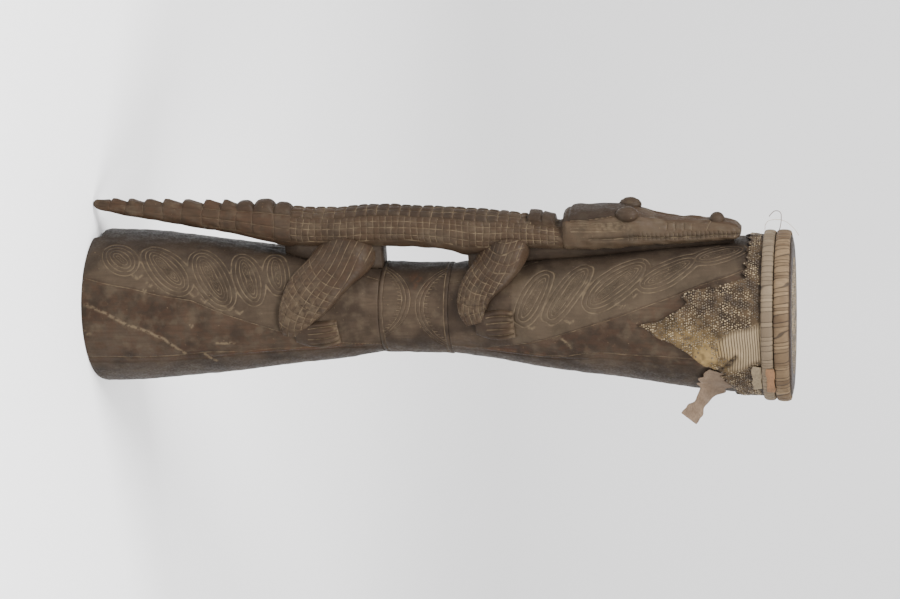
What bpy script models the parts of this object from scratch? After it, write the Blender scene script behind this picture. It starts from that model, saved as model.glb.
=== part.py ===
# Kundu drum, standing on its open foot. Metres, +Z up, the crocodile handle on the -X side.
# Angles run round the drum from the crocodile's plane, in degrees, positive towards -Y.
import math
import bpy
import bmesh
from mathutils import Vector

# The log
DRUM_HEIGHT = 0.6535
WAIST_HEIGHT = 0.300
FOOT_RADIUS = 0.0728
WAIST_RADIUS = 0.0414
HEAD_RADIUS = 0.0730
BORE_RADIUS = 0.0240
FOOT_WALL = 0.0080
HEAD_WALL = 0.0060
RIM_WEAR = 0.0016
RIM_WEAR_HEIGHT = 0.0100
LEAN = 0.0110
SHELL_SEGMENTS = 32
SHELL_RINGS = 14
HOLLOW_RINGS = 8

# Each flare: share of the way from the waist to the end, share of the radius gained
LOWER_FLARE = ((0.0, 0.0), (0.083, 0.03), (0.133, 0.115), (0.2, 0.232), (0.333, 0.379),
               (0.5, 0.586), (0.667, 0.787), (0.817, 0.93), (1.0, 1.0))
UPPER_FLARE = ((0.0, 0.0), (0.10, 0.013), (0.17, 0.108), (0.25, 0.231), (0.33, 0.351),
               (0.41, 0.446), (0.566, 0.636), (0.72, 0.82), (0.84, 0.94), (1.0, 1.0))

# The piece broken out of the foot rim
CHIP_HEIGHT = 0.0068
CHIP_NEAR_ANGLE = 9.0
CHIP_FAR_ANGLE = -26.0

# The crocodile: the spine's distance from the drum's axis, and the room for a hand under the belly
SPINE_RADIUS = WAIST_RADIUS + 0.0576
GRIP_LOW = 0.277
GRIP_HIGH = 0.358
SINK = 0.0040
BODY_SIDES = 12
# The carved forms' heights are drawn for a log 0.6535 m tall and rise or fall with the log
STRETCH = DRUM_HEIGHT / 0.6535


def stretched(rows):
    """A table of rows with its heights fitted to this log."""
    return tuple((row[0] * STRETCH,) + row[1:] for row in rows)


# Height, drop of the back below the spine, depth, half width of the back, half width of the belly
TAIL_ROWS = stretched((
    (0.0012, -0.0048, 0.0060, 0.0030, 0.0030), (0.006, -0.0048, 0.0085, 0.0042, 0.0048),
    (0.035, -0.0032, 0.0130, 0.0060, 0.0070), (0.070, -0.0022, 0.0182, 0.0072, 0.0088),
    (0.105, -0.0015, 0.0235, 0.0085, 0.0105), (0.140, -0.0008, 0.0290, 0.0100, 0.0130),
    (0.170, 0.0000, 0.0352, 0.0125, 0.0165)))
BODY_ROWS = stretched((
    (0.192, 0.0022, 0.0368, 0.0145, 0.0190), (0.215, 0.0032, 0.0368, 0.0158, 0.0202),
    (0.240, 0.0028, 0.0372, 0.0160, 0.0202), (0.264, 0.0005, 0.0385, 0.0160, 0.0198),
    (0.290, 0.0000, 0.0378, 0.0160, 0.0195), (0.320, 0.0015, 0.0372, 0.0160, 0.0195),
    (0.342, 0.0020, 0.0395, 0.0160, 0.0200), (0.356, 0.0026, 0.0430, 0.0160, 0.0202),
    (0.377, 0.0040, 0.0400, 0.0160, 0.0205),
    (0.400, 0.0065, 0.0325, 0.0160, 0.0205), (0.425, 0.0085, 0.0300, 0.0155, 0.0195),
    (0.4440, 0.0122, 0.0255, 0.0145, 0.0185), (0.4600, 0.0122, 0.0255, 0.0145, 0.0180)))
HEAD_ROWS = stretched((
    (0.4480, 0.0035, 0.0325, 0.0150, 0.0190), (0.4515, 0.0012, 0.0358, 0.0188, 0.0208),
    (0.474, -0.0002, 0.0364, 0.0205, 0.0216), (0.4945, -0.0010, 0.0355, 0.0205, 0.0218),
    (0.512, 0.0003, 0.0322, 0.0190, 0.0212), (0.530, 0.0048, 0.0260, 0.0145, 0.0192),
    (0.541, 0.0068, 0.0234, 0.0120, 0.0180), (0.5567, 0.0078, 0.0214, 0.0102, 0.0168),
    (0.5694, 0.0082, 0.0198, 0.0098, 0.0162), (0.580, 0.0075, 0.0190, 0.0105, 0.0164),
    (0.593, 0.0080, 0.0170, 0.0115, 0.0160), (0.604, 0.0110, 0.0125, 0.0110, 0.0142),
    (0.6085, 0.0150, 0.0055, 0.0075, 0.0100)))
TAIL_CREST_LOW = 0.0155 * STRETCH
TAIL_CREST_HIGH = 0.1920 * STRETCH
TAIL_CRESTS = 10
TAIL_CREST_RISE = 0.0032
TAIL_CREST_PEAK = 0.18
ROUND_CRESTS_FROM = 7
ROUND_CREST_SWELL = 1.6
CREST_FULLNESS = 1.25
CREST_ROWS = (0.0, 0.18, 0.62)

SNOUT_END = HEAD_ROWS[-1][0]

# Webs of wood left between the crocodile and the log: share of the way from the grip to the end, half width
HIP_WEB = ((0.0, 0.012), (0.16, 0.0170), (0.59, 0.0185), (0.83, 0.0145), (1.0, 0.006))
HIP_WEB_END = TAIL_CREST_HIGH - 0.008
NECK_WEB = ((0.0, 0.011), (0.06, 0.014), (0.30, 0.0125), (0.66, 0.0115), (1.0, 0.0075))
NECK_WEB_END = SNOUT_END - 0.0065
WEB_SIDES = 8

# Plate on the nape, eyes and nose, each measured back from the end of the snout
NAPE_BACK = 0.1690
NAPE_LENGTH = 0.0245
NAPE_RISE = 0.0046
NAPE_HALF_WIDTH = 0.0135
EYE_BACK = 0.1015
EYE_RADIUS = 0.0098
EYE_INSET = 0.0035
EYE_STAND = 0.0062
NOSE_BACK = 0.0215
NOSE_RADIUS = 0.0070
NOSE_STAND = 0.0062

# Each limb: height, angle, how far it stands off the log, half width
HIND_LEG = stretched((
    (0.2450, 4, 0.0270, 0.0290), (0.2420, 16, 0.0215, 0.0285), (0.2370, 28, 0.0170, 0.0270),
    (0.2300, 41, 0.0125, 0.0255), (0.2160, 60, 0.0100, 0.0250), (0.2050, 76, 0.0086, 0.0210),
    (0.1985, 90, 0.0072, 0.0160), (0.1970, 100, 0.0055, 0.0110)))
HIND_FOOT = stretched((
    (0.2010, 99, 0.0050, 0.0090), (0.2130, 101, 0.0060, 0.0125), (0.2260, 101.4, 0.0056, 0.0135),
    (0.2390, 100, 0.0035, 0.0125)))
FRONT_LEG = stretched((
    (0.3920, 4, 0.0290, 0.0255), (0.3900, 16, 0.0225, 0.0250), (0.3850, 28, 0.0155, 0.0240),
    (0.3750, 42, 0.0112, 0.0205), (0.3675, 56, 0.0094, 0.0170), (0.3650, 72, 0.0082, 0.0140),
    (0.3680, 87, 0.0062, 0.0090)))
FRONT_FOOT = stretched((
    (0.3682, 90, 0.0050, 0.0090), (0.3800, 89.3, 0.0058, 0.0130), (0.3920, 88, 0.0056, 0.0145),
    (0.4040, 87, 0.0032, 0.0130)))
LIMB_SIDES = 8

# Carved ovals beside the crocodile: height, angle, half length, half width, slant from the axis
GROOVE_RADIUS = 0.0011
OVALS = stretched(((0.079, 41, 0.0290, 0.0125, 45),
         (0.122, 47, 0.0300, 0.0125, 58), (0.1555, 45, 0.0250, 0.0095, 68),
         (0.4223, 58, 0.0250, 0.0080, -62), (0.4538, 54, 0.0290, 0.0080, -56),
         (0.4976, 47, 0.0330, 0.0120, -40), (0.5444, 37, 0.0270, 0.0095, -30)))
OVAL_STEPS = 9
# Long triangles on the flanks: height and angle along the edge next to the ovals
FLANK_EDGES = (stretched(((0.030, 56), (0.104, 67), (0.176, 90))),
               stretched(((0.420, 104), (0.484, 80), (0.550, 58))))
# The carved band round the waist stands a little proud of the log
BAND_LOW = 0.2757
BAND_HIGH = 0.3413
BAND_RISE = 0.0007

# The skin over the head, with its torn skirt: angle, distance of the torn edge below the head
SKIN_THICKNESS = 0.0018
SKIN_GAP = 0.0004
SKIN_SEGMENTS = 54
SKIRT_ROWS = 3
TORN_EDGE = (
    (-180, 0.0535), (-158, 0.0475), (-140, 0.0565), (-118, 0.0675), (-100, 0.0595), (-80, 0.0715),
    (-62, 0.0555), (-38, 0.0425), (0, 0.0385), (44, 0.0420), (50, 0.0635), (54, 0.0925),
    (60, 0.0960), (65, 0.0945), (70, 0.1015), (77, 0.1185), (82, 0.1360), (87, 0.1235),
    (94, 0.1075), (99, 0.0945), (105, 0.0815), (112, 0.0705), (118, 0.0615), (140, 0.0525),
    (150, 0.0455), (166, 0.0515), (180, 0.0535))
# The flap: distance below the head, angle, distance off the skirt, half width
FLAP_THICKNESS = 0.0016
FLAP_ROWS = ((0.0575, 122, 0.0008, 0.0120), (0.0655, 133, 0.0012, 0.0135), (0.0755, 144, 0.0050, 0.0100),
             (0.0835, 149, 0.0150, 0.0088), (0.0895, 151, 0.0240, 0.0092), (0.0945, 152, 0.0320, 0.0112))

# The two bound hoops over the skirt, and the loose bits about them
TOUCH = 0.0003
RING_GAP = 0.0008
RING_WALL = 0.0030
UPPER_RING_HIGH = DRUM_HEIGHT - TOUCH
UPPER_RING_WIDTH = 0.0136
LOWER_RING_HIGH = UPPER_RING_HIGH - UPPER_RING_WIDTH - TOUCH
LOWER_RING_WIDTH = 0.0110
LOWER_RING_LOW = LOWER_RING_HIGH - LOWER_RING_WIDTH
RING_SEGMENTS = 28
TAB_LOW_ANGLE = 108
TAB_HIGH_ANGLE = 134
TAB_WIDTH = 0.0085
TAB_THICKNESS = 0.0016
WIRE_RADIUS = 0.00040
STRAND_RADIUS = 0.00030
WIRE_SIDE = -0.0030
STRAND_SIDE = 0.0035
# Distance out from the hoops and height above the lower hoop's foot, beside the crocodile's plane
WIRE_ROUTE = ((0.0000, 0.0135), (0.0060, 0.0155), (0.0130, 0.0166), (0.0185, 0.0166), (0.0212, 0.0145),
              (0.0215, 0.0115), (0.0195, 0.0085), (0.0160, 0.0058))
STRAND_ROUTE = ((0.0000, 0.0015), (0.0055, 0.0018), (0.0095, 0.0045), (0.0112, 0.0100), (0.0112, 0.0150),
                (0.0085, 0.0220), (0.0020, 0.0285), (-0.0035, 0.0318))


def along(rows, x):
    """Read every column of a table of rows at x, on a smooth curve that does not overshoot much."""
    x = min(max(x, rows[0][0]), rows[-1][0])
    i = next(k for k in range(1, len(rows)) if x <= rows[k][0])
    a, b = rows[i - 1], rows[i]
    before, after = rows[max(i - 2, 0)], rows[min(i + 1, len(rows) - 1)]
    span = b[0] - a[0]
    t = (x - a[0]) / span
    out = []
    for c in range(1, len(a)):
        rise = b[c] - a[c]
        slope_a = (b[c] - before[c]) / (b[0] - before[0]) * span
        slope_b = (after[c] - a[c]) / (after[0] - a[0]) * span
        if rise * slope_a <= 0:
            slope_a = 0
        if rise * slope_b <= 0:
            slope_b = 0
        out.append((2 * t**3 - 3 * t**2 + 1) * a[c] + (t**3 - 2 * t**2 + t) * slope_a
                   + (3 * t**2 - 2 * t**3) * b[c] + (t**3 - t**2) * slope_b)
    return out


def straight(rows, x):
    """Read the second column of a table at x on straight runs."""
    i = next(k for k in range(1, len(rows)) if x <= rows[k][0] or k == len(rows) - 1)
    a, b = rows[i - 1], rows[i]
    return a[1] + (b[1] - a[1]) * (x - a[0]) / (b[0] - a[0])


def outer_radius(z):
    """The log's outer radius at a height."""
    z = min(max(z, 0), DRUM_HEIGHT)
    if z < WAIST_HEIGHT:
        share = along(LOWER_FLARE, (WAIST_HEIGHT - z) / WAIST_HEIGHT)[0]
        return WAIST_RADIUS + (FOOT_RADIUS - WAIST_RADIUS) * share
    share = along(UPPER_FLARE, (z - WAIST_HEIGHT) / (DRUM_HEIGHT - WAIST_HEIGHT))[0]
    return WAIST_RADIUS + (HEAD_RADIUS - WAIST_RADIUS) * share


def inner_radius(z):
    """The hollow's radius: a thin wall at both ends that grows to the solid waist."""
    end_wall, span = (FOOT_WALL, WAIST_HEIGHT) if z < WAIST_HEIGHT else (HEAD_WALL, DRUM_HEIGHT - WAIST_HEIGHT)
    closeness = 1 - abs(z - WAIST_HEIGHT) / span
    wall = end_wall + (WAIST_RADIUS - BORE_RADIUS - end_wall) * closeness**3
    return max(outer_radius(z) - wall, BORE_RADIUS)


def on_log(z, angle, lift=0.0):
    """A point that stands off the log's surface by lift."""
    r = outer_radius(z) + lift
    a = math.radians(angle)
    return Vector((-r * math.cos(a), -r * math.sin(a), z))


def squircle(step, sides, power):
    """A point on a rounded square from -1 to 1 each way."""
    a = 2 * math.pi * (step % sides) / sides
    c, s = math.cos(a), math.sin(a)
    return (math.copysign(abs(c)**(2 / power), c), math.copysign(abs(s)**(2 / power), s))


def tube(rows, sides, place, close=False):
    """A closed tube: place(row, side) gives each point; the ends are filled, or joined in a ring."""
    bm = bmesh.new()
    bmesh.ops.create_grid(bm, x_segments=rows - 1 + close, y_segments=sides, size=1)
    for vert in bm.verts:
        row = round((vert.co.x + 1) / 2 * (rows - 1 + close))
        side = round((vert.co.y + 1) / 2 * sides)
        vert.co = place(row % rows, side % sides)
    bmesh.ops.remove_doubles(bm, verts=bm.verts, dist=1e-6)
    bmesh.ops.holes_fill(bm, edges=[e for e in bm.edges if e.is_boundary], sides=0)
    return bm


def spun(profile, segments):
    """A ring turned about Z from a closed outline of (radius, height) points."""
    bm = bmesh.new()
    verts = [bm.verts.new((r, 0, z)) for r, z in profile]
    edges = [bm.edges.new((a, b)) for a, b in zip(verts, verts[1:] + verts[:1])]
    bmesh.ops.spin(bm, geom=verts + edges, cent=(0, 0, 0), axis=(0, 0, 1), angle=2 * math.pi,
                   steps=segments, use_merge=True, use_duplicate=False)
    bmesh.ops.remove_doubles(bm, verts=bm.verts, dist=1e-6)
    return bm


def material(name, color, roughness):
    """A plain Principled material."""
    mat = bpy.data.materials.new(name)
    mat.use_nodes = True
    shader = mat.node_tree.nodes["Principled BSDF"]
    shader.inputs["Base Color"].default_value = (*color, 1)
    shader.inputs["Roughness"].default_value = roughness
    return mat


def make(bm, name, mat=None, home=None):
    """Turn a bmesh into an object that leans as the log does. Without a material it is a helper."""
    bmesh.ops.recalc_face_normals(bm, faces=bm.faces)
    for vert in bm.verts:
        vert.co.x += LEAN * (vert.co.z / DRUM_HEIGHT)**2
    mesh = bpy.data.meshes.new(name)
    bm.to_mesh(mesh)
    bm.free()
    mesh.shade_smooth()
    mesh.set_sharp_from_angle(angle=math.radians(40))
    obj = bpy.data.objects.new(name, mesh)
    (home or bpy.context.scene.collection).objects.link(obj)
    if mat:
        mesh.materials.append(mat)
    else:
        obj.hide_render = True
        obj.display_type = "WIRE"
    return obj


def shell():
    """The hollow log."""
    step = (DRUM_HEIGHT - RIM_WEAR_HEIGHT) / SHELL_RINGS
    heights = [RIM_WEAR_HEIGHT + step * i for i in range(SHELL_RINGS + 1)]
    outside = [(outer_radius(0) - RIM_WEAR, 0), (outer_radius(0) - RIM_WEAR * 0.35, RIM_WEAR_HEIGHT * 0.35)]
    outside += [(outer_radius(z), z) for z in heights if not BAND_LOW - step / 4 < z < BAND_HIGH + step / 4]
    outside += [(outer_radius(z) + rise, z) for z, rise in (
        (BAND_LOW - BAND_RISE, 0), (BAND_LOW, BAND_RISE), ((BAND_LOW + BAND_HIGH) / 2, BAND_RISE),
        (BAND_HIGH, BAND_RISE), (BAND_HIGH + BAND_RISE, 0))]
    outside.sort(key=lambda point: point[1])
    inside = [(inner_radius(z), z) for z in (DRUM_HEIGHT * i / HOLLOW_RINGS for i in range(HOLLOW_RINGS + 1))]
    return spun(outside[::-1] + inside, SHELL_SEGMENTS)


def crest(z):
    """How far a tail scute rises at a height: steep towards the tail's tip, then rounder near the hips."""
    pitch = (TAIL_CREST_HIGH - TAIL_CREST_LOW) / TAIL_CRESTS
    t = (z - TAIL_CREST_LOW) / pitch
    if t < 0 or t > TAIL_CRESTS:
        return 0.0
    share = t % 1
    peak = TAIL_CREST_PEAK if t < ROUND_CRESTS_FROM else 0.5
    slope = share / peak if share < peak else (1 - share) / (1 - peak)
    return TAIL_CREST_RISE * (1 if t < ROUND_CRESTS_FROM else ROUND_CREST_SWELL) * min(1, slope * CREST_FULLNESS)


def lizard_loft(rows, heights, power, rise=lambda z: 0.0):
    """The crocodile's trunk or head as rounded sections stacked up the log."""
    def place(row, side):
        z = heights[row]
        drop, depth, back, belly = along(rows, z)
        across, up = squircle(side, BODY_SIDES, power)
        half = belly + (back - belly) * (up + 1) / 2 if up > 0 else belly
        top = SPINE_RADIUS - drop + rise(z)
        low = SPINE_RADIUS - drop - depth
        return Vector((-((top + low) / 2 + (top - low) / 2 * up), -half * across, z))
    return tube(len(heights), BODY_SIDES, place)


def trunk():
    """Tail, body and neck in one loft, with the tail's row of scutes."""
    pitch = (TAIL_CREST_HIGH - TAIL_CREST_LOW) / TAIL_CRESTS
    heights = [TAIL_ROWS[0][0], TAIL_ROWS[1][0]]
    for i in range(TAIL_CRESTS):
        heights += [TAIL_CREST_LOW + pitch * (i + share) for share in CREST_ROWS]
    heights += [row[0] for row in BODY_ROWS]
    return lizard_loft(TAIL_ROWS + BODY_ROWS, heights, 2.3, crest)


def underside(z):
    """How far the crocodile's underside is from the drum's axis, with room to sink a web into it."""
    if z < HEAD_ROWS[1][0]:
        return SPINE_RADIUS - sum(along(TAIL_ROWS + BODY_ROWS, z)[:2]) + SINK * 2
    return SPINE_RADIUS - sum(along(HEAD_ROWS, z)[:2]) + SINK


def web(rows, start, end):
    """Wood left standing between the log and the crocodile's underside, away from the grip."""
    rows = sorted((start + (end - start) * share, half) for share, half in rows)
    heights = [row[0] for row in rows]
    count = 2 * len(heights) - 1

    def place(row, side):
        z = heights[row // 2] if row % 2 == 0 else (heights[row // 2] + heights[row // 2 + 1]) / 2
        across, up = squircle(side, WEB_SIDES, 4)
        low, top = outer_radius(z) - SINK, underside(z)
        return Vector((-((top + low) / 2 + (top - low) / 2 * up), -along(rows, z)[0] * across, z))
    return tube(count, WEB_SIDES, place)


def limb(rows, side_sign):
    """A leg or foot that lies on the log and bends round it."""
    steps = 2 * len(rows) - 1
    line = [along([(i,) + tuple(r) for i, r in enumerate(rows)], k / 2) for k in range(steps)]

    def place(row, side):
        z, angle, lift, half = line[row]
        r = outer_radius(z)
        a, b = line[max(row - 1, 0)], line[min(row + 1, steps - 1)]
        run = Vector((b[0] - a[0], r * math.radians(b[1] - a[1]))).normalized()
        across, up = squircle(side, LIMB_SIDES, 2.5)
        z += -run.y * across * half
        angle += math.degrees(run.x * across * half / r)
        rise = (lift - SINK) / 2 + (lift + SINK) / 2 * up
        return on_log(z, angle * side_sign, rise)
    return tube(steps, LIMB_SIDES, place)


def dome(back, stand, spread, radius):
    """A ball half sunk in the head, that far back from the snout's end and standing off the head by stand."""
    height = SNOUT_END - back
    top = SPINE_RADIUS - along(HEAD_ROWS, height)[0] + stand
    bm = bmesh.new()
    bmesh.ops.create_icosphere(bm, subdivisions=2, radius=radius)
    bmesh.ops.translate(bm, verts=bm.verts, vec=(-(top - radius), -spread, height))
    return bm


def nape_plate():
    """The raised block of scutes behind the head."""
    def place(row, side):
        z = SNOUT_END - NAPE_BACK - NAPE_LENGTH * (1 - row / 3)
        across, up = squircle(side, 8, 4)
        top = SPINE_RADIUS - along(BODY_ROWS, z)[0] + NAPE_RISE * (0.6 if row in (0, 3) else 1)
        return Vector((-(top - NAPE_RISE * 1.6 * (1 - up)), -NAPE_HALF_WIDTH * across, z))
    return tube(4, 8, place)


def groove(points, closed):
    """A thin four-sided tube along a line on the log, which cuts a V when taken away."""
    count = len(points)

    def place(row, side):
        a = points[(row - 1) % count] if closed or row else points[row]
        b = points[(row + 1) % count] if closed or row < count - 1 else points[row]
        z, angle = points[row]
        out = on_log(z, angle) * Vector((1, 1, 0))
        out.normalize()
        run = (on_log(*b) - on_log(*a)).normalized()
        across, up = squircle(side, 4, 2)
        wide = run.cross(out) * across * GROOVE_RADIUS
        return on_log(z, angle) + wide + out * up * GROOVE_RADIUS
    return tube(count, 4, place, closed)


def oval(z, angle, long_half, short_half, slant, side_sign):
    """Points of one carved oval."""
    tilt = math.radians(slant)
    points = []
    for i in range(OVAL_STEPS):
        a = 2 * math.pi * i / OVAL_STEPS
        u, v = long_half * math.cos(a), short_half * math.sin(a)
        up, round_log = u * math.cos(tilt) - v * math.sin(tilt), u * math.sin(tilt) + v * math.cos(tilt)
        turn = math.degrees(round_log / outer_radius(z + up))
        points.append((z + up, (angle + turn) * side_sign))
    return points


def carving(home):
    """Cutters for the ovals and the flank lines."""
    for sign in (1, -1):
        for n, numbers in enumerate(OVALS):
            make(groove(oval(*numbers, sign), True), f"oval_cut_{n}_{sign}", home=home)
        for n, rows in enumerate(FLANK_EDGES):
            low, high = rows[0][0], rows[-1][0]
            heights = [low + (high - low) * i / 7 for i in range(8)]
            line = [(z, along(rows, z)[0] * sign) for z in heights]
            make(groove(line, False), f"flank_cut_{n}_{sign}", home=home)


def chip_cutter(home):
    """The bite out of the foot rim on the crocodile's side."""
    bm = bmesh.new()
    bmesh.ops.create_cube(bm, size=1)
    near = -math.sin(math.radians(CHIP_NEAR_ANGLE)) * FOOT_RADIUS
    far = -math.sin(math.radians(CHIP_FAR_ANGLE)) * FOOT_RADIUS
    depth = FOOT_WALL * 2.4
    for vert in bm.verts:
        x = -(FOOT_RADIUS + FOOT_WALL / 2) if vert.co.x < 0 else -(FOOT_RADIUS - depth)
        y = near if vert.co.y < 0 else far
        z = -CHIP_HEIGHT if vert.co.z < 0 else CHIP_HEIGHT * (1 if vert.co.y < 0 else 0.55)
        vert.co = (x, y, z)
    return make(bm, "chip_cut", home=home)


def drum_body(wood):
    """The log, the crocodile and their carving as one solid."""
    joined = bpy.data.collections.new("joined_forms")
    cut = bpy.data.collections.new("cut_forms")
    bpy.context.scene.collection.children.link(joined)
    bpy.context.scene.collection.children.link(cut)
    body = make(shell(), "drum_body", wood)
    make(trunk(), "trunk", home=joined)
    make(lizard_loft(HEAD_ROWS, [row[0] for row in HEAD_ROWS], 3.4), "head", home=joined)
    make(web(HIP_WEB, GRIP_LOW, HIP_WEB_END), "hip_web", home=joined)
    make(web(NECK_WEB, GRIP_HIGH, NECK_WEB_END), "neck_web", home=joined)
    make(nape_plate(), "nape_plate", home=joined)
    for sign, side in ((1, "near"), (-1, "far")):
        for rows, name in ((HIND_LEG, "hind_leg"), (HIND_FOOT, "hind_foot"),
                           (FRONT_LEG, "front_leg"), (FRONT_FOOT, "front_foot")):
            make(limb(rows, sign), f"{side}_{name}", home=joined)
        spread = along(HEAD_ROWS, SNOUT_END - EYE_BACK)[2] - EYE_INSET
        make(dome(EYE_BACK, EYE_STAND, sign * spread, EYE_RADIUS), f"{side}_eye", home=joined)
    make(dome(NOSE_BACK, NOSE_STAND, 0, NOSE_RADIUS), "nose", home=joined)
    chip_cutter(cut)
    carving(cut)
    for operation, forms in (("UNION", joined), ("DIFFERENCE", cut)):
        boolean = body.modifiers.new(operation.title(), "BOOLEAN")
        boolean.operation = operation
        boolean.operand_type = "COLLECTION"
        boolean.collection = forms
        boolean.solver = "EXACT"
    return body


def skin_offset(z):
    """Outer radius of the skin where it lies on the log."""
    return outer_radius(z) + SKIN_GAP + SKIN_THICKNESS


def drumhead(hide):
    """The stretched skin, its torn skirt and the flap, as one closed sheet of even thickness."""
    top = DRUM_HEIGHT + SKIN_GAP
    rounding = SKIN_THICKNESS

    def edge(angle):
        return DRUM_HEIGHT - straight(TORN_EDGE, angle)

    def profile(step, angle, outer):
        lift = SKIN_THICKNESS if outer else 0.0
        if step == 0:
            return (0.0, top + lift)
        if step == 1:
            return (HEAD_RADIUS - rounding + SKIN_GAP, top + lift)
        if step == 2:
            bend = rounding * (0.70 if outer else 0.0)
            return (outer_radius(top) + SKIN_GAP + bend, top + bend)
        share = (step - 2) / SKIRT_ROWS
        z = top - rounding + (edge(angle) - top + rounding) * share
        return (outer_radius(z) + SKIN_GAP + lift, z)

    last = 2 + SKIRT_ROWS
    count = 2 * (last + 1)

    def place(row, side):
        angle = -180 + 360 * side / SKIN_SEGMENTS
        r, z = profile(row, angle, True) if row <= last else profile(count - 1 - row, angle, False)
        a = math.radians(angle)
        return Vector((-r * math.cos(a), -r * math.sin(a), z))

    skin = make(tube(count, SKIN_SEGMENTS, place), "drumhead_skin", hide)
    flap = make(flap_strip(), "flap")
    boolean = skin.modifiers.new("Flap", "BOOLEAN")
    boolean.operation = "UNION"
    boolean.object = flap
    boolean.solver = "EXACT"
    return skin


def flap_strip():
    """The stiff strip that leaves the skirt and sticks out from the log."""
    steps = 2 * len(FLAP_ROWS) - 1
    line = [along([(i,) + r for i, r in enumerate(FLAP_ROWS)], k / 2) for k in range(steps)]

    def centre(k):
        below, angle, lift, half = line[min(max(k, 0), steps - 1)]
        return on_log(DRUM_HEIGHT - below, angle, SKIN_GAP + SKIN_THICKNESS / 2 + lift)

    def place(row, side):
        run = (centre(row + 1) - centre(row - 1)).normalized()
        out = on_log(DRUM_HEIGHT - line[row][0], line[row][1]) * Vector((1, 1, 0))
        wide = run.cross(out).normalized()
        thick = wide.cross(run).normalized()
        across, up = squircle(side, 8, 5)
        return centre(row) + wide * across * line[row][3] + thick * up * FLAP_THICKNESS / 2
    return tube(steps, 8, place)


def ring(low, high, binding, name):
    """A bound hoop: flat against the skirt, rounded outside."""
    inside = skin_offset(high) + RING_GAP
    middle, half = (low + high) / 2, (high - low) / 2
    profile = [(inside, high - half * 0.12)]
    for i in range(5):
        a = math.pi * (0.5 - i / 4)
        profile.append((inside + RING_WALL * (0.35 + 0.65 * max(0, math.cos(a))), middle + half * math.sin(a)))
    profile.append((inside, low + half * 0.12))
    return make(spun(profile, RING_SEGMENTS), name, binding)


def tab(strip):
    """The strip end that lies on the skirt below the lower hoop."""
    high = LOWER_RING_LOW - TOUCH
    steps = 7

    def place(row, side):
        angle = TAB_LOW_ANGLE + (TAB_HIGH_ANGLE - TAB_LOW_ANGLE) * row / (steps - 1)
        across, up = squircle(side, 8, 5)
        z = high - TAB_WIDTH / 2 + TAB_WIDTH / 2 * across
        return on_log(z, angle, SKIN_GAP + SKIN_THICKNESS + TOUCH + TAB_THICKNESS / 2 * (1 + up))
    return make(tube(steps, 8, place), "wrap_tab", strip)


def bent_wire(route, radius, side_shift, name, mat):
    """A stiff wire or fibre beside the crocodile's plane, as a tube along its route."""
    start = skin_offset(UPPER_RING_HIGH) + RING_GAP + RING_WALL + TOUCH + radius
    steps = 2 * (len(route) - 1) + 1
    table = [(i,) + p for i, p in enumerate(route)]
    line = []
    for k in range(steps):
        out, up = along(table, k / 2)
        line.append(Vector((-(start + out), side_shift, LOWER_RING_LOW + up)))

    def place(row, side):
        run = (line[min(row + 1, steps - 1)] - line[max(row - 1, 0)]).normalized()
        a = 2 * math.pi * side / 5
        across = Vector((0, 1, 0))
        return line[row] + (across * math.cos(a) + run.cross(across) * math.sin(a)) * radius
    return make(tube(steps, 5, place), name, mat)


def stand_on_origin():
    """Hold everything on one empty, placed so that the box's bottom centre is at the origin."""
    corners = [obj.matrix_world @ vert.co for obj in bpy.data.objects if obj.type == "MESH"
               and "cut" not in obj.name for vert in obj.data.vertices]
    middle = [(min(c[k] for c in corners) + max(c[k] for c in corners)) / 2 for k in (0, 1)]
    frame = bpy.data.objects.new("drum_frame", None)
    bpy.context.scene.collection.objects.link(frame)
    for obj in list(bpy.data.objects):
        if obj is not frame:
            obj.parent = frame
    frame.location = (-middle[0], -middle[1], 0)


def main():
    for obj in list(bpy.data.objects):
        bpy.data.objects.remove(obj, do_unlink=True)
    drum_body(material("aged_wood", (0.115, 0.082, 0.060), 0.62))
    drumhead(material("lizard_skin", (0.36, 0.30, 0.20), 0.60))
    ring(LOWER_RING_LOW, LOWER_RING_HIGH, material("pale_binding", (0.52, 0.45, 0.34), 0.75), "lower_rim_ring")
    ring(LOWER_RING_HIGH + TOUCH, UPPER_RING_HIGH, material("tan_binding", (0.45, 0.33, 0.21), 0.70),
         "upper_rim_ring")
    tab(material("strip_end", (0.55, 0.49, 0.38), 0.80))
    bent_wire(WIRE_ROUTE, WIRE_RADIUS, WIRE_SIDE, "wire_hook", material("dark_wire", (0.06, 0.05, 0.05), 0.5))
    bent_wire(STRAND_ROUTE, STRAND_RADIUS, STRAND_SIDE, "loose_strand",
              material("plant_fibre", (0.45, 0.40, 0.33), 0.8))
    stand_on_origin()


main()
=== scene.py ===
# Kundu drum with a carved crocodile handle: the look of the part, its stage and its camera
import math
import bpy
import bmesh
import numpy as np
from mathutils import Vector, Matrix


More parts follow.
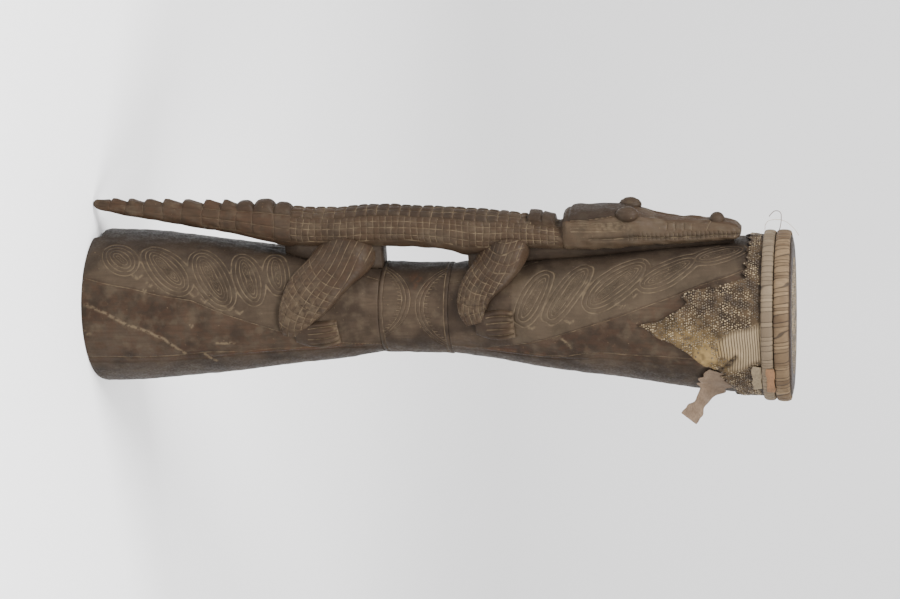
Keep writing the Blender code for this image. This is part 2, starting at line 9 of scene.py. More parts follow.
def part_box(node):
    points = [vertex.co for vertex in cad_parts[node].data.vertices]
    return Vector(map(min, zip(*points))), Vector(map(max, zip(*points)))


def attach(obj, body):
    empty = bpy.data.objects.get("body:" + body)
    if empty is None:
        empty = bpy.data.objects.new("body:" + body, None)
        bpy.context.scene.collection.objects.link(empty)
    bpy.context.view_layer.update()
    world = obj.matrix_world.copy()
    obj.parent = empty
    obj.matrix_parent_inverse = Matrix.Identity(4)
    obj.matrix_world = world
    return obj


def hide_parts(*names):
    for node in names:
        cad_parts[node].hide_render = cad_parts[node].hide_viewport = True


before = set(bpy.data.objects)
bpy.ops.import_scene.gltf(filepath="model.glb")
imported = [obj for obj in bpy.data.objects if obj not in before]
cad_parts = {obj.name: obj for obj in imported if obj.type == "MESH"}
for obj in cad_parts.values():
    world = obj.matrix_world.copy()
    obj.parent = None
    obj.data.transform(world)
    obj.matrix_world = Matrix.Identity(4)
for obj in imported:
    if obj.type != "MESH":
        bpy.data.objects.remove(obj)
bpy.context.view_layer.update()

# The log, in metres; angles run round the drum from the crocodile's plane, positive towards -Y
log = {"height": 0.6535, "waistHeight": 0.300, "footRadius": 0.0728, "waistRadius": 0.0414, "headRadius": 0.0730,
       "bore": 0.0240, "footWall": 0.0080, "headWall": 0.0060, "lean": 0.0110, "bandLow": 0.2757, "bandHigh": 0.3413,
       "segments": 360, "lineHalfWidth": 0.00045, "grooveDepth": 0.00055}
lowerFlare = ((0.0, 0.0), (0.083, 0.03), (0.133, 0.115), (0.2, 0.232), (0.333, 0.379),
              (0.5, 0.586), (0.667, 0.787), (0.817, 0.93), (1.0, 1.0))
upperFlare = ((0.0, 0.0), (0.10, 0.013), (0.17, 0.108), (0.25, 0.231), (0.33, 0.351),
              (0.41, 0.446), (0.566, 0.636), (0.72, 0.82), (0.84, 0.94), (1.0, 1.0))


def along(rows, x):
    # every column of a table of rows at x, on a smooth curve
    x = min(max(x, rows[0][0]), rows[-1][0])
    i = next(k for k in range(1, len(rows)) if x <= rows[k][0])
    a, b = rows[i - 1], rows[i]
    before, after = rows[max(i - 2, 0)], rows[min(i + 1, len(rows) - 1)]
    span = b[0] - a[0]
    t = (x - a[0]) / span
    out = []
    for c in range(1, len(a)):
        rise = b[c] - a[c]
        slopeA = (b[c] - before[c]) / (b[0] - before[0]) * span
        slopeB = (after[c] - a[c]) / (after[0] - a[0]) * span
        slopeA = 0 if rise * slopeA <= 0 else slopeA
        slopeB = 0 if rise * slopeB <= 0 else slopeB
        out.append((2 * t**3 - 3 * t**2 + 1) * a[c] + (t**3 - 2 * t**2 + t) * slopeA
                   + (3 * t**2 - 2 * t**3) * b[c] + (t**3 - t**2) * slopeB)
    return out


def curve(rows):
    # the same curve for whole arrays of x
    grid = np.linspace(rows[0][0], rows[-1][0], 800)
    values = np.array([along(rows, x) for x in grid])
    return lambda x: [np.interp(x, grid, values[:, c]) for c in range(values.shape[1])]


lowerCurve, upperCurve = curve(lowerFlare), curve(upperFlare)


def outerRadius(z):
    z = np.clip(z, 0, log["height"])
    low = lowerCurve((log["waistHeight"] - z) / log["waistHeight"])[0]
    high = upperCurve((z - log["waistHeight"]) / (log["height"] - log["waistHeight"]))[0]
    return log["waistRadius"] + np.where(z < log["waistHeight"], (log["footRadius"] - log["waistRadius"]) * low,
                                         (log["headRadius"] - log["waistRadius"]) * high)


def innerRadius(z):
    below = z < log["waistHeight"]
    endWall = np.where(below, log["footWall"], log["headWall"])
    span = np.where(below, log["waistHeight"], log["height"] - log["waistHeight"])
    wall = endWall + (log["waistRadius"] - log["bore"] - endWall) * (1 - np.abs(z - log["waistHeight"]) / span)**3
    return np.maximum(outerRadius(z) - wall, log["bore"])


def leanAt(z):
    return log["lean"] * (z / log["height"])**2


ringLow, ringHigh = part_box("upper_rim_ring")
axisX = (ringLow[0] + ringHigh[0]) / 2 - leanAt((ringLow[2] + ringHigh[2]) / 2)


def polar(r, angle, z):
    # places in the row frame from distance, degrees and height, with the log's lean
    a = np.radians(angle)
    return np.stack([-r * np.cos(a) + leanAt(z) + axisX, -r * np.sin(a), z], axis=-1)


def ripple(points, size, seed, count=10):
    # a smooth random swell, about -1 to 1, with bumps of that size
    rng = np.random.default_rng(seed)
    out = np.zeros(len(points))
    for _ in range(count):
        way = rng.normal(size=points.shape[1])
        way *= 2 * math.pi / size / np.linalg.norm(way) * rng.uniform(0.6, 1.4)
        out += np.sin(points @ way + rng.uniform(0, 2 * math.pi))
    return out / math.sqrt(count / 2)


def bell(x, width):
    return np.exp(-(x / width)**2)


def within(x, low, high, soft):
    return np.clip((x - low) / soft, 0, 1) * np.clip((high - x) / soft, 0, 1)


def pillow(share, power=6):
    return 1 - np.abs(2 * share - 1)**power


def cellsOf(x, lines):
    # a count that is whole on each line, and the spacing there; a line is a number or follows the surface
    count, pitch = np.zeros(len(x)), np.full(len(x), 1e9)
    for a, b in zip(lines, lines[1:]):
        gap = np.maximum(b - a, 1e-6)
        share = (x - a) / gap
        count += np.clip(share, 0, 1)
        pitch = np.where((share >= 0) & (share <= 1), gap, pitch)
    return count, pitch


def nearLine(count):
    return np.abs((count + 0.5) % 1 - 0.5)


def groove(count, reach):
    # how deep a cut line is, 0 to 1, where reach is its half width in counts
    return bell(nearLine(count), np.maximum(reach * 1.5, 1e-6)) * (reach > 0)


def gridPoints(bm, rows, sides):
    # a flat grid's vertices with the row and side that each stands for
    bm.loops.layers.uv.new("uv")
    bmesh.ops.create_grid(bm, x_segments=rows, y_segments=sides, size=1, calc_uvs=True)
    co = np.array([v.co[:2] for v in bm.verts])
    return (co[:, 0] + 1) / 2 * rows, (co[:, 1] + 1) / 2 * sides


def put(bm, points):
    for vert, point in zip(bm.verts, points):
        vert.co = point


def paint(bm, **layers):
    # numbers on the vertices that the materials read
    for name, values in layers.items():
        layer = bm.verts.layers.float.new(name)
        for vert, value in zip(bm.verts, np.broadcast_to(values, len(bm.verts))):
            vert[layer] = value


def closeTube(bm):
    bmesh.ops.remove_doubles(bm, verts=bm.verts, dist=1e-6)
    bmesh.ops.holes_fill(bm, edges=[e for e in bm.edges if e.is_boundary], sides=0)
    bmesh.ops.recalc_face_normals(bm, faces=bm.faces)


def addObject(name, data):
    obj = bpy.data.objects.new(name, data)
    bpy.context.scene.collection.objects.link(obj)
    return obj


def objectFrom(bm, name, mat):
    mesh = bpy.data.meshes.new(name)
    bm.to_mesh(mesh)
    bm.free()
    mesh.shade_smooth()
    mesh.materials.append(mat)
    return addObject(name, mesh)


def pieceFrom(bm, name, mat, node):
    # a finished piece that rides on the part's one body and stands for one of its solids
    obj = objectFrom(bm, name, mat)
    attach(obj, "root")
    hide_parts(node)


# Small helpers for shader nodes: a value may be a number or another node's output
def addNode(tree, kind, inputs=None, **settings):
    made = tree.nodes.new(kind)
    for key, value in settings.items():
        setattr(made, key, value)
    for key, value in (inputs or {}).items():
        if isinstance(value, bpy.types.NodeSocket):
            tree.links.new(value, made.inputs[key])
        else:
            made.inputs[key].default_value = value
    return made


def times(tree, a, b):
    return calc(tree, "MULTIPLY", a, b)


def calc(tree, operation, a, b=0.0, clamp=False):
    return addNode(tree, "ShaderNodeMath", {0: a, 1: b}, operation=operation, use_clamp=clamp).outputs[0]


def mixColor(tree, share, a, b):
    a, b = [(*c, 1) if isinstance(c, tuple) and len(c) == 3 else c for c in (a, b)]
    return addNode(tree, "ShaderNodeMix", {0: share, 6: a, 7: b}, data_type="RGBA").outputs[2]


def soften(tree, value, low, high, outLow=0.0, outHigh=1.0):
    return addNode(tree, "ShaderNodeMapRange", {"Value": value, "From Min": low, "From Max": high, "To Min": outLow,
                                                "To Max": outHigh}, interpolation_type="SMOOTHSTEP").outputs[0]


def noise(tree, place, size, detail=3.0):
    scale = calc(tree, "DIVIDE", 1.0, size) if isinstance(size, bpy.types.NodeSocket) else 1 / size
    return addNode(tree, "ShaderNodeTexNoise", {"Vector": place, "Scale": scale, "Detail": detail}).outputs[0]


def attributeOf(tree, name):
    return addNode(tree, "ShaderNodeAttribute", attribute_name=name).outputs["Fac"]


def placeOf(tree, stretch=None):
    place = addNode(tree, "ShaderNodeTexCoord").outputs["Object"]
    return addNode(tree, "ShaderNodeMapping", {"Vector": place, "Scale": stretch}).outputs[0] if stretch else place


def newGroup(name, inputs, outputs):
    tree = bpy.data.node_groups.new(name, "ShaderNodeTree")
    for label, kind, value in inputs:
        socket = tree.interface.new_socket(label, in_out="INPUT", socket_type=kind)
        if value is not None:
            socket.default_value = value
    for label in outputs:
        tree.interface.new_socket(label, in_out="OUTPUT", socket_type="NodeSocketFloat")
    return tree, tree.nodes.new("NodeGroupInput").outputs, tree.nodes.new("NodeGroupOutput").inputs


def useGroup(tree, group, inputs):
    return addNode(tree, "ShaderNodeGroup", inputs, node_tree=group).outputs


# Lines at whole counts of a value that the mesh carries
cutLines, given, result = newGroup("cutLines", (("Count", "NodeSocketFloat", 0.0), ("Reach", "NodeSocketFloat", 0.0)),
                                   ("Line",))
gap = calc(cutLines, "ABSOLUTE", calc(cutLines, "SUBTRACT", calc(cutLines, "FRACT", calc(
    cutLines, "ADD", given["Count"], 0.5)), 0.5))
slope = calc(cutLines, "ADD", times(cutLines, given["Reach"], 0.5), 0.0001)
cutLines.links.new(calc(cutLines, "DIVIDE", calc(cutLines, "SUBTRACT", given["Reach"], gap), slope, clamp=True),
                   result["Line"])

# Soft patches of tone and small flecks
grime, given, result = newGroup("grime", (("Place", "NodeSocketVector", None), ("Size", "NodeSocketFloat", 0.02)),
                                ("Patch", "Fleck", "Fine"))
broad = noise(grime, given["Place"], given["Size"], 4.0)
fine = noise(grime, given["Place"], times(grime, given["Size"], 0.07), 2.0)
grime.links.new(soften(grime, broad, 0.36, 0.64), result["Patch"])
grime.links.new(soften(grime, fine, 0.70, 0.80), result["Fleck"])
grime.links.new(fine, result["Fine"])

# Fibres that run along the stretched direction of the place that is handed in
grain, given, result = newGroup("grain", (("Place", "NodeSocketVector", None), ("Size", "NodeSocketFloat", 0.002)),
                                ("Shade", "Height"))
streak = noise(grain, given["Place"], given["Size"], 5.0)
thin = noise(grain, given["Place"], times(grain, given["Size"], 0.3), 2.0)
grain.links.new(soften(grain, streak, 0.35, 0.68), result["Shade"])
grain.links.new(calc(grain, "ADD", times(grain, streak, 0.65), times(grain, thin, 0.35)),
                result["Height"])


def newMaterial(name, roughness=0.6):
    mat = bpy.data.materials.new(name)
    mat.use_nodes = True
    shader = mat.node_tree.nodes["Principled BSDF"]
    shader.inputs["Roughness"].default_value = roughness
    return mat, mat.node_tree, shader


def carvedLine(tree, side):
    # the lines of one direction, from the numbers on the vertices
    return useGroup(tree, cutLines, {"Count": attributeOf(tree, "count" + side),
                                     "Reach": attributeOf(tree, "reach" + side)})[0]


def finishMaterial(tree, shader, color, roughness, height, depth, strength, specular):
    shader.inputs["Specular IOR Level"].default_value = specular
    bump = addNode(tree, "ShaderNodeBump", {"Height": height, "Distance": depth, "Strength": strength})
    tree.links.new(bump.outputs[0], shader.inputs["Normal"])
    tree.links.new(color, shader.inputs["Base Color"])
    if isinstance(roughness, bpy.types.NodeSocket):
        tree.links.new(roughness, shader.inputs["Roughness"])
    else:
        shader.inputs["Roughness"].default_value = roughness


# The darkest tone here is the colour of painted shade
woodLook = {"dark": (0.0158, 0.0103, 0.0066), "mid": (0.0375, 0.0260, 0.0170), "warm": (0.0305, 0.0186, 0.0109),
            "red": (0.0370, 0.0175, 0.0095), "lime": (0.118, 0.088, 0.054), "dust": (0.056, 0.042, 0.027),
            "paintedShade": (0.009, 0.0065, 0.005),
            "patchSize": 0.030, "grainSize": 0.0022, "shine": (0.45, 0.68)}


def woodMaterial():
    mat, tree, shader = newMaterial("agedWood")
    place = placeOf(tree)
    fibres = useGroup(tree, grain, {"Place": placeOf(tree, (1, 1, 0.06)), "Size": woodLook["grainSize"]})
    dirt = useGroup(tree, grime, {"Place": place, "Size": woodLook["patchSize"]})
    line = calc(tree, "MAXIMUM", carvedLine(tree, "U"), carvedLine(tree, "V"))
    worn = soften(tree, noise(tree, place, 0.007, 4.0), 0.38, 0.62, 0.25, 1.0)
    kept = calc(tree, "SUBTRACT", 1.0, attributeOf(tree, "fade"))
    lime = calc(tree, "MAXIMUM", times(tree, times(tree, line, worn), kept),
                times(tree, attributeOf(tree, "lime"),
                     soften(tree, noise(tree, place, 0.0035, 3.0), 0.36, 0.58)))
    color = mixColor(tree, dirt["Patch"], woodLook["dark"], woodLook["mid"])
    warm = times(tree, attributeOf(tree, "warm"),
                soften(tree, noise(tree, place, 0.016, 3.0), 0.30, 0.62, 0.25, 1.0))
    color = mixColor(tree, warm, color, woodLook["warm"])
    color = mixColor(tree, times(tree, attributeOf(tree, "rust"),
                                soften(tree, noise(tree, place, 0.008, 3.0), 0.42, 0.60)), color, woodLook["red"])
    color = mixColor(tree, times(tree, fibres["Shade"], 0.35), color, woodLook["dark"])
    dust = times(tree, soften(tree, noise(tree, place, 0.011, 5.0), 0.50, 0.70), 0.35)
    color = mixColor(tree, dust, color, woodLook["dust"])
    color = mixColor(tree, attributeOf(tree, "haze"), color, woodLook["dust"])
    # Painted shade: darker where the vertices' shade numbers say, under the crocodile, inside the log and where the
    # light does not reach
    color = mixColor(tree, attributeOf(tree, "shade"), color, woodLook["paintedShade"])
    color = mixColor(tree, times(tree, lime, 0.68), color, woodLook["lime"])
    color = mixColor(tree, times(tree, dirt["Fleck"], 0.5), color, woodLook["lime"])
    roughness = calc(tree, "ADD", soften(tree, dirt["Fine"], 0.3, 0.7, *woodLook["shine"]),
                     times(tree, lime, 0.25))
    height = calc(tree, "SUBTRACT", calc(tree, "ADD", times(tree, fibres["Height"], 0.5),
                                         times(tree, dirt["Fine"], 0.35)), line)
    finishMaterial(tree, shader, color, roughness, height, 0.00035, 0.7, 0.09)
    return mat


# The last colour here is the colour of painted shade
hideLook = {"brown": (0.0140, 0.0092, 0.0056), "tan": (0.038, 0.025, 0.0135), "cream": (0.185, 0.140, 0.086),
            "yellow": (0.135, 0.090, 0.036), "bead": (0.180, 0.134, 0.075), "beadDark": (0.030, 0.0205, 0.0118),
            "rim": (0.018, 0.012, 0.011), "paintedShade": (0.012, 0.008, 0.006)}


def hideMaterial():
    mat, tree, shader = newMaterial("lizardHide")
    place = placeOf(tree)
    dirt = useGroup(tree, grime, {"Place": place, "Size": 0.012})
    line = carvedLine(tree, "U")
    color = mixColor(tree, dirt["Patch"], hideLook["brown"], hideLook["tan"])
    color = mixColor(tree, attributeOf(tree, "cream"), color, hideLook["cream"])
    color = mixColor(tree, times(tree, attributeOf(tree, "yellow"),
                                soften(tree, noise(tree, place, 0.006, 4.0), 0.30, 0.60, 0.4, 1.0)),
                     color, hideLook["yellow"])
    color = mixColor(tree, times(tree, line, 0.8), color, hideLook["brown"])
    color = mixColor(tree, times(tree, dirt["Fleck"], 0.4), color, hideLook["cream"])
    # Painted shade, in the slit behind the flap and along the torn edge
    color = mixColor(tree, attributeOf(tree, "shade"), color, hideLook["paintedShade"])
    color = mixColor(tree, attributeOf(tree, "rimTone"), color, hideLook["rim"])
    roughness = soften(tree, dirt["Fine"], 0.3, 0.7, 0.42, 0.68)
    height = calc(tree, "SUBTRACT", times(tree, dirt["Fine"], 0.6), line)
    finishMaterial(tree, shader, color, roughness, height, 0.0004, 0.8, 0.10)
    return mat


def beadMaterial():
    mat, tree, shader = newMaterial("scaleBeads")
    place = placeOf(tree)
    dirt = useGroup(tree, grime, {"Place": place, "Size": 0.010})
    color = mixColor(tree, dirt["Patch"], hideLook["beadDark"], hideLook["bead"])
    color = mixColor(tree, soften(tree, noise(tree, place, 0.0025, 1.0), 0.45, 0.65), color, hideLook["beadDark"])
    roughness = soften(tree, dirt["Fine"], 0.3, 0.7, 0.28, 0.45)
    finishMaterial(tree, shader, color, roughness, dirt["Fine"], 0.0002, 0.5, 0.30)
    return mat


def bindingMaterial(name, light, dark, strips, reach):
    # strips wound round a hoop: u counts them, v runs across
    mat, tree, shader = newMaterial(name)
    uv = addNode(tree, "ShaderNodeSeparateXYZ", {0: addNode(tree, "ShaderNodeUVMap", uv_map="uv").outputs[0]})
    count = times(tree, uv.outputs["Y"], strips)
    line = useGroup(tree, cutLines, {"Count": count, "Reach": reach})[0]
    tint = addNode(tree, "ShaderNodeTexWhiteNoise", {"W": calc(tree, "FLOOR", count)},
                   noise_dimensions="1D").outputs[0]
    place = placeOf(tree)
    fibres = useGroup(tree, grain, {"Place": placeOf(tree, (1, 1, 0.12)), "Size": 0.0012})
    dirt = useGroup(tree, grime, {"Place": place, "Size": 0.014})
    color = mixColor(tree, calc(tree, "ADD", times(tree, tint, 0.7),
                                times(tree, dirt["Patch"], 0.3)), dark, light)
    color = mixColor(tree, times(tree, fibres["Shade"], 0.3), color, dark)
    color = mixColor(tree, times(tree, line, 0.75), color, tuple(c * 0.25 for c in dark))
    height = calc(tree, "SUBTRACT", times(tree, fibres["Height"], 0.5), line)
    finishMaterial(tree, shader, color, 0.72, height, 0.0003, 0.8, 0.25)
    return mat


def plainFibreMaterial(name, light, dark, roughness):
    mat, tree, shader = newMaterial(name)
    place = placeOf(tree)
    fibres = useGroup(tree, grain, {"Place": placeOf(tree, (0.3, 0.3, 1)), "Size": 0.0009})
    dirt = useGroup(tree, grime, {"Place": place, "Size": 0.008})
    color = mixColor(tree, calc(tree, "ADD", times(tree, fibres["Shade"], 0.5),
                                times(tree, dirt["Patch"], 0.5)), light, dark)
    color = mixColor(tree, attributeOf(tree, "shade"), color, tuple(c * 0.4 for c in dark))
    finishMaterial(tree, shader, color, roughness, fibres["Height"], 0.0002, 0.6, 0.25)
    return mat


wood = woodMaterial()
hide = hideMaterial()
beadShine = beadMaterial()
paleStrip = plainFibreMaterial("stripEnd", (0.150, 0.116, 0.073), (0.085, 0.063, 0.038), 0.8)
orangeStrip = plainFibreMaterial("orangeStrip", (0.150, 0.075, 0.034), (0.080, 0.045, 0.022), 0.65)
wireRust = plainFibreMaterial("darkWire", (0.06, 0.05, 0.045), (0.10, 0.055, 0.035), 0.5)
fibre = plainFibreMaterial("plantFibre", (0.45, 0.40, 0.33), (0.25, 0.20, 0.15), 0.8)
bareFlap = plainFibreMaterial("bareHide", (0.140, 0.096, 0.063), (0.080, 0.052, 0.032), 0.6)
print("materials done")

# The carved patterns on the log: height, angle, half length, half width, slant from the axis
ovals = ((0.034, 34, 0.017, 0.0105, 40), (0.079, 41, 0.0290, 0.0125, 45),
         (0.122, 47, 0.0300, 0.0125, 58), (0.1555, 45, 0.0250, 0.0095, 68), (0.181, 37, 0.0200, 0.0075, 75),
         (0.4223, 58, 0.0250, 0.0080, -62), (0.4538, 54, 0.0290, 0.0080, -56),
         (0.4976, 47, 0.0330, 0.0120, -40), (0.5444, 37, 0.0270, 0.0095, -30), (0.590, 20, 0.022, 0.008, -20))
carving = {"ovalPitch": 4.0, "ovalReach": 6.2, "panelLow": 0.205, "panelHigh": 0.402,
           "backFrom": 150, "chipNear": 9.0, "chipFar": -26.0, "chipNearRise": 0.0068, "chipFarRise": 0.0037}
# lines along the flanks, as height and angle: the panel's edge, then the line below it
lowEdge = np.array(((0.0, 50), (0.033, 56), (0.104, 67), (0.203, 103), (log["bandLow"], 125)))
lowSeam = np.array(((0.0, 113), (0.120, 115), (0.236, 117), (log["bandLow"], 128)))
highEdge = np.array(((log["bandHigh"], 127), (0.376, 122), (0.484, 80), (0.587, 45), (0.613, 37),
                     (log["height"], 26)))
highSeam = np.array(((log["bandHigh"], 128), (0.384, 123), (0.449, 119), (0.483, 111), (0.565, 108),
                     (log["height"], 106)))
# small pale triangles between the ovals and the edge, and scraped marks, as height, angle and size in millimetres
paleMarks = ((0.053, 49, 3.0), (0.066, 55, 2.0), (0.107, 62, 2.6), (0.117, 67, 1.8), (0.140, 73, 2.4),
             (0.149, 77, 2.0), (0.420, 89, 2.2), (0.456, 81, 2.6), (0.503, 66, 2.6), (0.514, 57, 2.0),
             (0.061, 60, 1.0), (0.0045, 92, 1.4), (0.104, 88, 0.9), (0.470, 44, 1.4))
scrapes = (((0.004, 70), (0.024, 77), (0.042, 85), (0.059, 90), (0.077, 98), (0.094, 113)),
           ((0.112, 116), (0.116, 121), (0.121, 126)), ((0.125, 105), (0.132, 106), (0.141, 106)),
           ((0.448, 99), (0.452, 103), (0.455, 108)))


def ovalField(z, angle):
    # millimetres outside the nearest oval's outline, less than nothing inside, flowing from one to the next
    nearness = np.zeros(len(z))
    for height, turn, longHalf, shortHalf, slant in ovals:
        r = outerRadius(np.array([height]))[0]
        up, around = z - height, np.radians(angle - turn) * r
        c, s = math.cos(math.radians(slant)), math.sin(math.radians(slant))
        u, v = up * c + around * s, -up * s + around * c
        size = np.hypot(u / longHalf, v / shortHalf)
        steep = np.hypot(u / longHalf**2, v / shortHalf**2)
        d = (size - 1) * np.maximum(size, 0.05) / np.maximum(steep, 1.0)
        nearness += np.exp(-np.minimum(d * 1000, 90) / 0.9)
    return -0.9 * np.log(nearness)


def strokeGap(z, angle, points):
    # millimetres to a line of height and angle points
    r = outerRadius(z)
    best = np.full(len(z), 99.0)
    for a, b in zip(points, points[1:]):
        runZ, runA = (b[0] - a[0]) * 1000, math.radians(b[1] - a[1]) * 1000 * r
        offZ, offA = (z - a[0]) * 1000, np.radians(angle - a[1]) * 1000 * r
        share = np.clip((offZ * runZ + offA * runA) / (runZ**2 + runA**2), 0, 1)
        best = np.minimum(best, np.hypot(offZ - runZ * share, offA - runA * share))
    return best


def bandCarving(z, angle, r):
    # two arcs that face each other across the waist, with short strokes along them
    turn, half = np.abs(angle), log["lineHalfWidth"]
    left = 0.302 - 1.0e-5 * (turn - 62)**2
    right = 0.315 + 7.5e-6 * (turn - 70)**2
    lines = [log["bandLow"], 0.2799, np.maximum(left - 0.0035, 0.2801), np.maximum(left, 0.2803),
             np.maximum(left + 0.0040, 0.2805), np.minimum(right - 0.0038, 0.3369), np.minimum(right, 0.3371),
             np.minimum(right + 0.0035, 0.3373), 0.3375, log["bandHigh"]]
    countU, pitchU = cellsOf(z, lines)
    strokes = (within(left - 0.0035 - z, 0.0002, 0.0040, 0.0002) * (left - 0.0035 > 0.2815)
               + within(z - right - 0.0035, 0.0002, 0.0040, 0.0002) * (right + 0.0035 < 0.336)) > 0.5
    arcs = bell((z - 0.3125) / 0.0085, 1) * (turn < carving["backFrom"])
    proud = 0.0007 * within(z, log["bandLow"], log["bandHigh"], 0.0008) - 0.0006 * arcs
    return {"countU": countU, "reachU": half / np.maximum(pitchU, 0.0009) * (turn < carving["backFrom"]),
            "countV": np.radians(turn) * r / 0.0034, "reachV": 0.13 * strokes, "fade": 0.25, "haze": 0.0,
            "lime": 0.0, "rust": bell((z - 0.3125) / 0.008, 1) * bell((turn - 34) / 14, 1)}, proud


def flareCarving(z, angle, r, solid, bottom):
    # ovals in a panel on each side of the crocodile, the panel's edge, a seam and the marks of wear
    turn, half = np.abs(angle), log["lineHalfWidth"]
    wobble = 1.2 * ripple(solid, 0.05, 5)
    field = ovalField(z, turn) + wobble * 0.45
    edge, seam = (lowEdge, lowSeam) if bottom else (highEdge, highSeam)
    edgeAt, seamAt = np.interp(z, *edge.T), np.interp(z, *seam.T)
    inPanel = (turn < edgeAt - 1.5) & ((z < carving["panelLow"]) | (z > carving["panelHigh"])) & (turn > 9)
    seamAt = np.maximum(seamAt, edgeAt + 1.0)
    countV, pitchV = cellsOf(turn + wobble * 0.5, [edgeAt - 90, edgeAt, seamAt, seamAt + 90])
    lime = np.zeros(len(z))
    for height, where, size in paleMarks:
        hook = ((height - 0.0017 * size, where - 1.5), (height, where + 1.5), (height + 0.0013 * size, where - 1.0))
        lime = np.maximum(lime, np.clip(1.5 - strokeGap(z, turn, hook) / (0.25 * size + 0.4), 0, 1) * 0.6)
    for points in scrapes:
        lime = np.maximum(lime, np.clip(1.5 - strokeGap(z, angle, points) / 1.3, 0, 1) * 0.8)
    flank = (turn > edgeAt) & (turn < seamAt + 6)
    rust = 0.32 * flank + 0.7 * bell(strokeGap(z, turn, ((0.130, 118), (0.245, 119), (log["bandLow"], 127))) / 2.5, 1)
    rust += 0.9 * bell(strokeGap(z, turn, ((0.350, 127), (0.399, 121), (0.449, 122))) / 2.2, 1)
    lowRidge = strokeGap(z, turn, ((0.120, 117), (0.245, 118), (log["bandLow"], 125)))
    highRidge = strokeGap(z, turn, ((log["bandHigh"], 126), (0.407, 122), (0.47, 118)))
    proud = 0.0012 * bell(lowRidge / 2.4, 1) + 0.0012 * bell(highRidge / 2.4, 1)
    proud = proud - 0.0005 * (flank * np.clip((turn - edgeAt) / 4, 0, 1))
    paleness = 0.12 if bottom else 0.30
    return {"countU": field / carving["ovalPitch"],
            "reachU": half * 1550 / carving["ovalPitch"] * (inPanel & (field < carving["ovalReach"])),
            "countV": countV, "reachV": half / (np.radians(pitchV) * r) * (turn < carving["backFrom"]),
            "fade": np.where(inPanel, 0.42, 0.25), "haze": paleness * inPanel * np.clip((turn - 20) / 20, 0, 1),
            "lime": lime, "rust": rust}, proud


def shellPart(name, low, high, rings, innerRings):
    # one length of the hollow log, with its carving
    bottom = low == 0
    heights = np.linspace(0.010 if bottom else low, high, rings)
    outside = list(zip(outerRadius(heights), heights))
    if bottom:
        outside = [(log["footRadius"] - 0.0016, 0.0), (log["footRadius"] - 0.0008, 0.0016),
                   (log["footRadius"] - 0.0003, 0.005)] + outside
    insideHeights = np.linspace(low, high, innerRings)
    inside = list(zip(innerRadius(insideHeights), insideHeights))
    bm = bmesh.new()
    verts = [bm.verts.new((r, 0, z)) for r, z in outside[::-1] + inside]
    edges = [bm.edges.new((a, b)) for a, b in zip(verts, verts[1:] + verts[:1])]
    bmesh.ops.spin(bm, geom=verts + edges, cent=(0, 0, 0), axis=(0, 0, 1), angle=2 * math.pi,
                   steps=log["segments"], use_merge=True, use_duplicate=False)
    bmesh.ops.recalc_face_normals(bm, faces=bm.faces)
    co = np.array([v.co[:] for v in bm.verts])
    r, z = np.hypot(co[:, 0], co[:, 1]), co[:, 2]
    outer = r > (outerRadius(z) + innerRadius(z)) / 2
    even = np.degrees(np.arctan2(-co[:, 1], -co[:, 0]))
    angle = np.interp(np.abs(even), (0, 8, 165, 180), (0, 10, 130, 180)) * np.sign(even)   # finer where it is carved
    turn = np.abs(angle)
    solid = polar(r, angle, z)
    if name == "waistBand":
        layers, proud = bandCarving(z, angle, r)
    else:
        layers, proud = flareCarving(z, angle, r, solid, bottom)
    for key in ("reachU", "reachV", "lime", "rust", "haze"):     # the inside of the log is plain
        layers[key] = layers[key] * outer
    depth = log["grooveDepth"] * np.maximum(groove(layers["countU"], layers["reachU"]),
                                            groove(layers["countV"], layers["reachV"]))
    worn = 0.00035 * ripple(solid, 0.060, 3) + 0.00012 * ripple(solid, 0.012, 4)
    ends = np.clip((z - low) / 0.002, 0, 1) * np.clip((high - z) / 0.002, 0, 1)   # neighbours meet in one line
    h = np.where(outer, (worn + proud) * ends - depth, 0)
    if bottom:    # the piece broken out of the rim
        chip = carving["chipFarRise"] + (carving["chipNearRise"] - carving["chipFarRise"]) * np.clip(
            (angle - carving["chipFar"]) / (carving["chipNear"] - carving["chipFar"]), 0, 1)
        chip = chip + 0.0004 * ripple(solid[:, :2], 0.006, 8)
        chip = chip * within(angle, carving["chipFar"], carving["chipNear"], 0.6)
        z = np.where(z < 0.02, chip + z * (0.02 - chip) / 0.02, z)
    put(bm, polar(r + h, angle, z))
    shadeUnderAndBehind = 0.85 * bell(turn / 27, 1) + 0.40 * np.clip((turn - 112) / 18, 0, 1)   # painted shade under the crocodile and on the far side of the log
    # the inside of the hollow log gets painted shade too
    paint(bm, warm=0.15, shade=np.where(outer, shadeUnderAndBehind, 0.55), **layers)
    pieceFrom(bm, name, wood, "drum_body")


shellPart("footShell", 0, log["bandLow"], 205, 10)
shellPart("waistBand", log["bandLow"], log["bandHigh"], 90, 4)
shellPart("headShell", log["bandHigh"], log["height"], 205, 10)
print("log done")

# The crocodile
croc = {"spine": 0.0990, "sink": 0.0040, "power": 2.3, "rows": 640, "sides": 110, "lineHalf": 0.00042,
        "grooveDepth": 0.00050, "crestRise": 0.0031, "crestPeak": 0.18, "roundFrom": 8, "roundSwell": 1.6,
        "backScute": 0.0102, "flankScute": 0.0060, "napeRise": 0.0046, "eyeBack": 0.1015, "eyeRadius": 0.0098,
        "eyeFlat": 0.74, "eyeInset": 0.0052, "noseBack": 0.0215, "noseRadius": 0.0070, "domeStand": 0.0062}
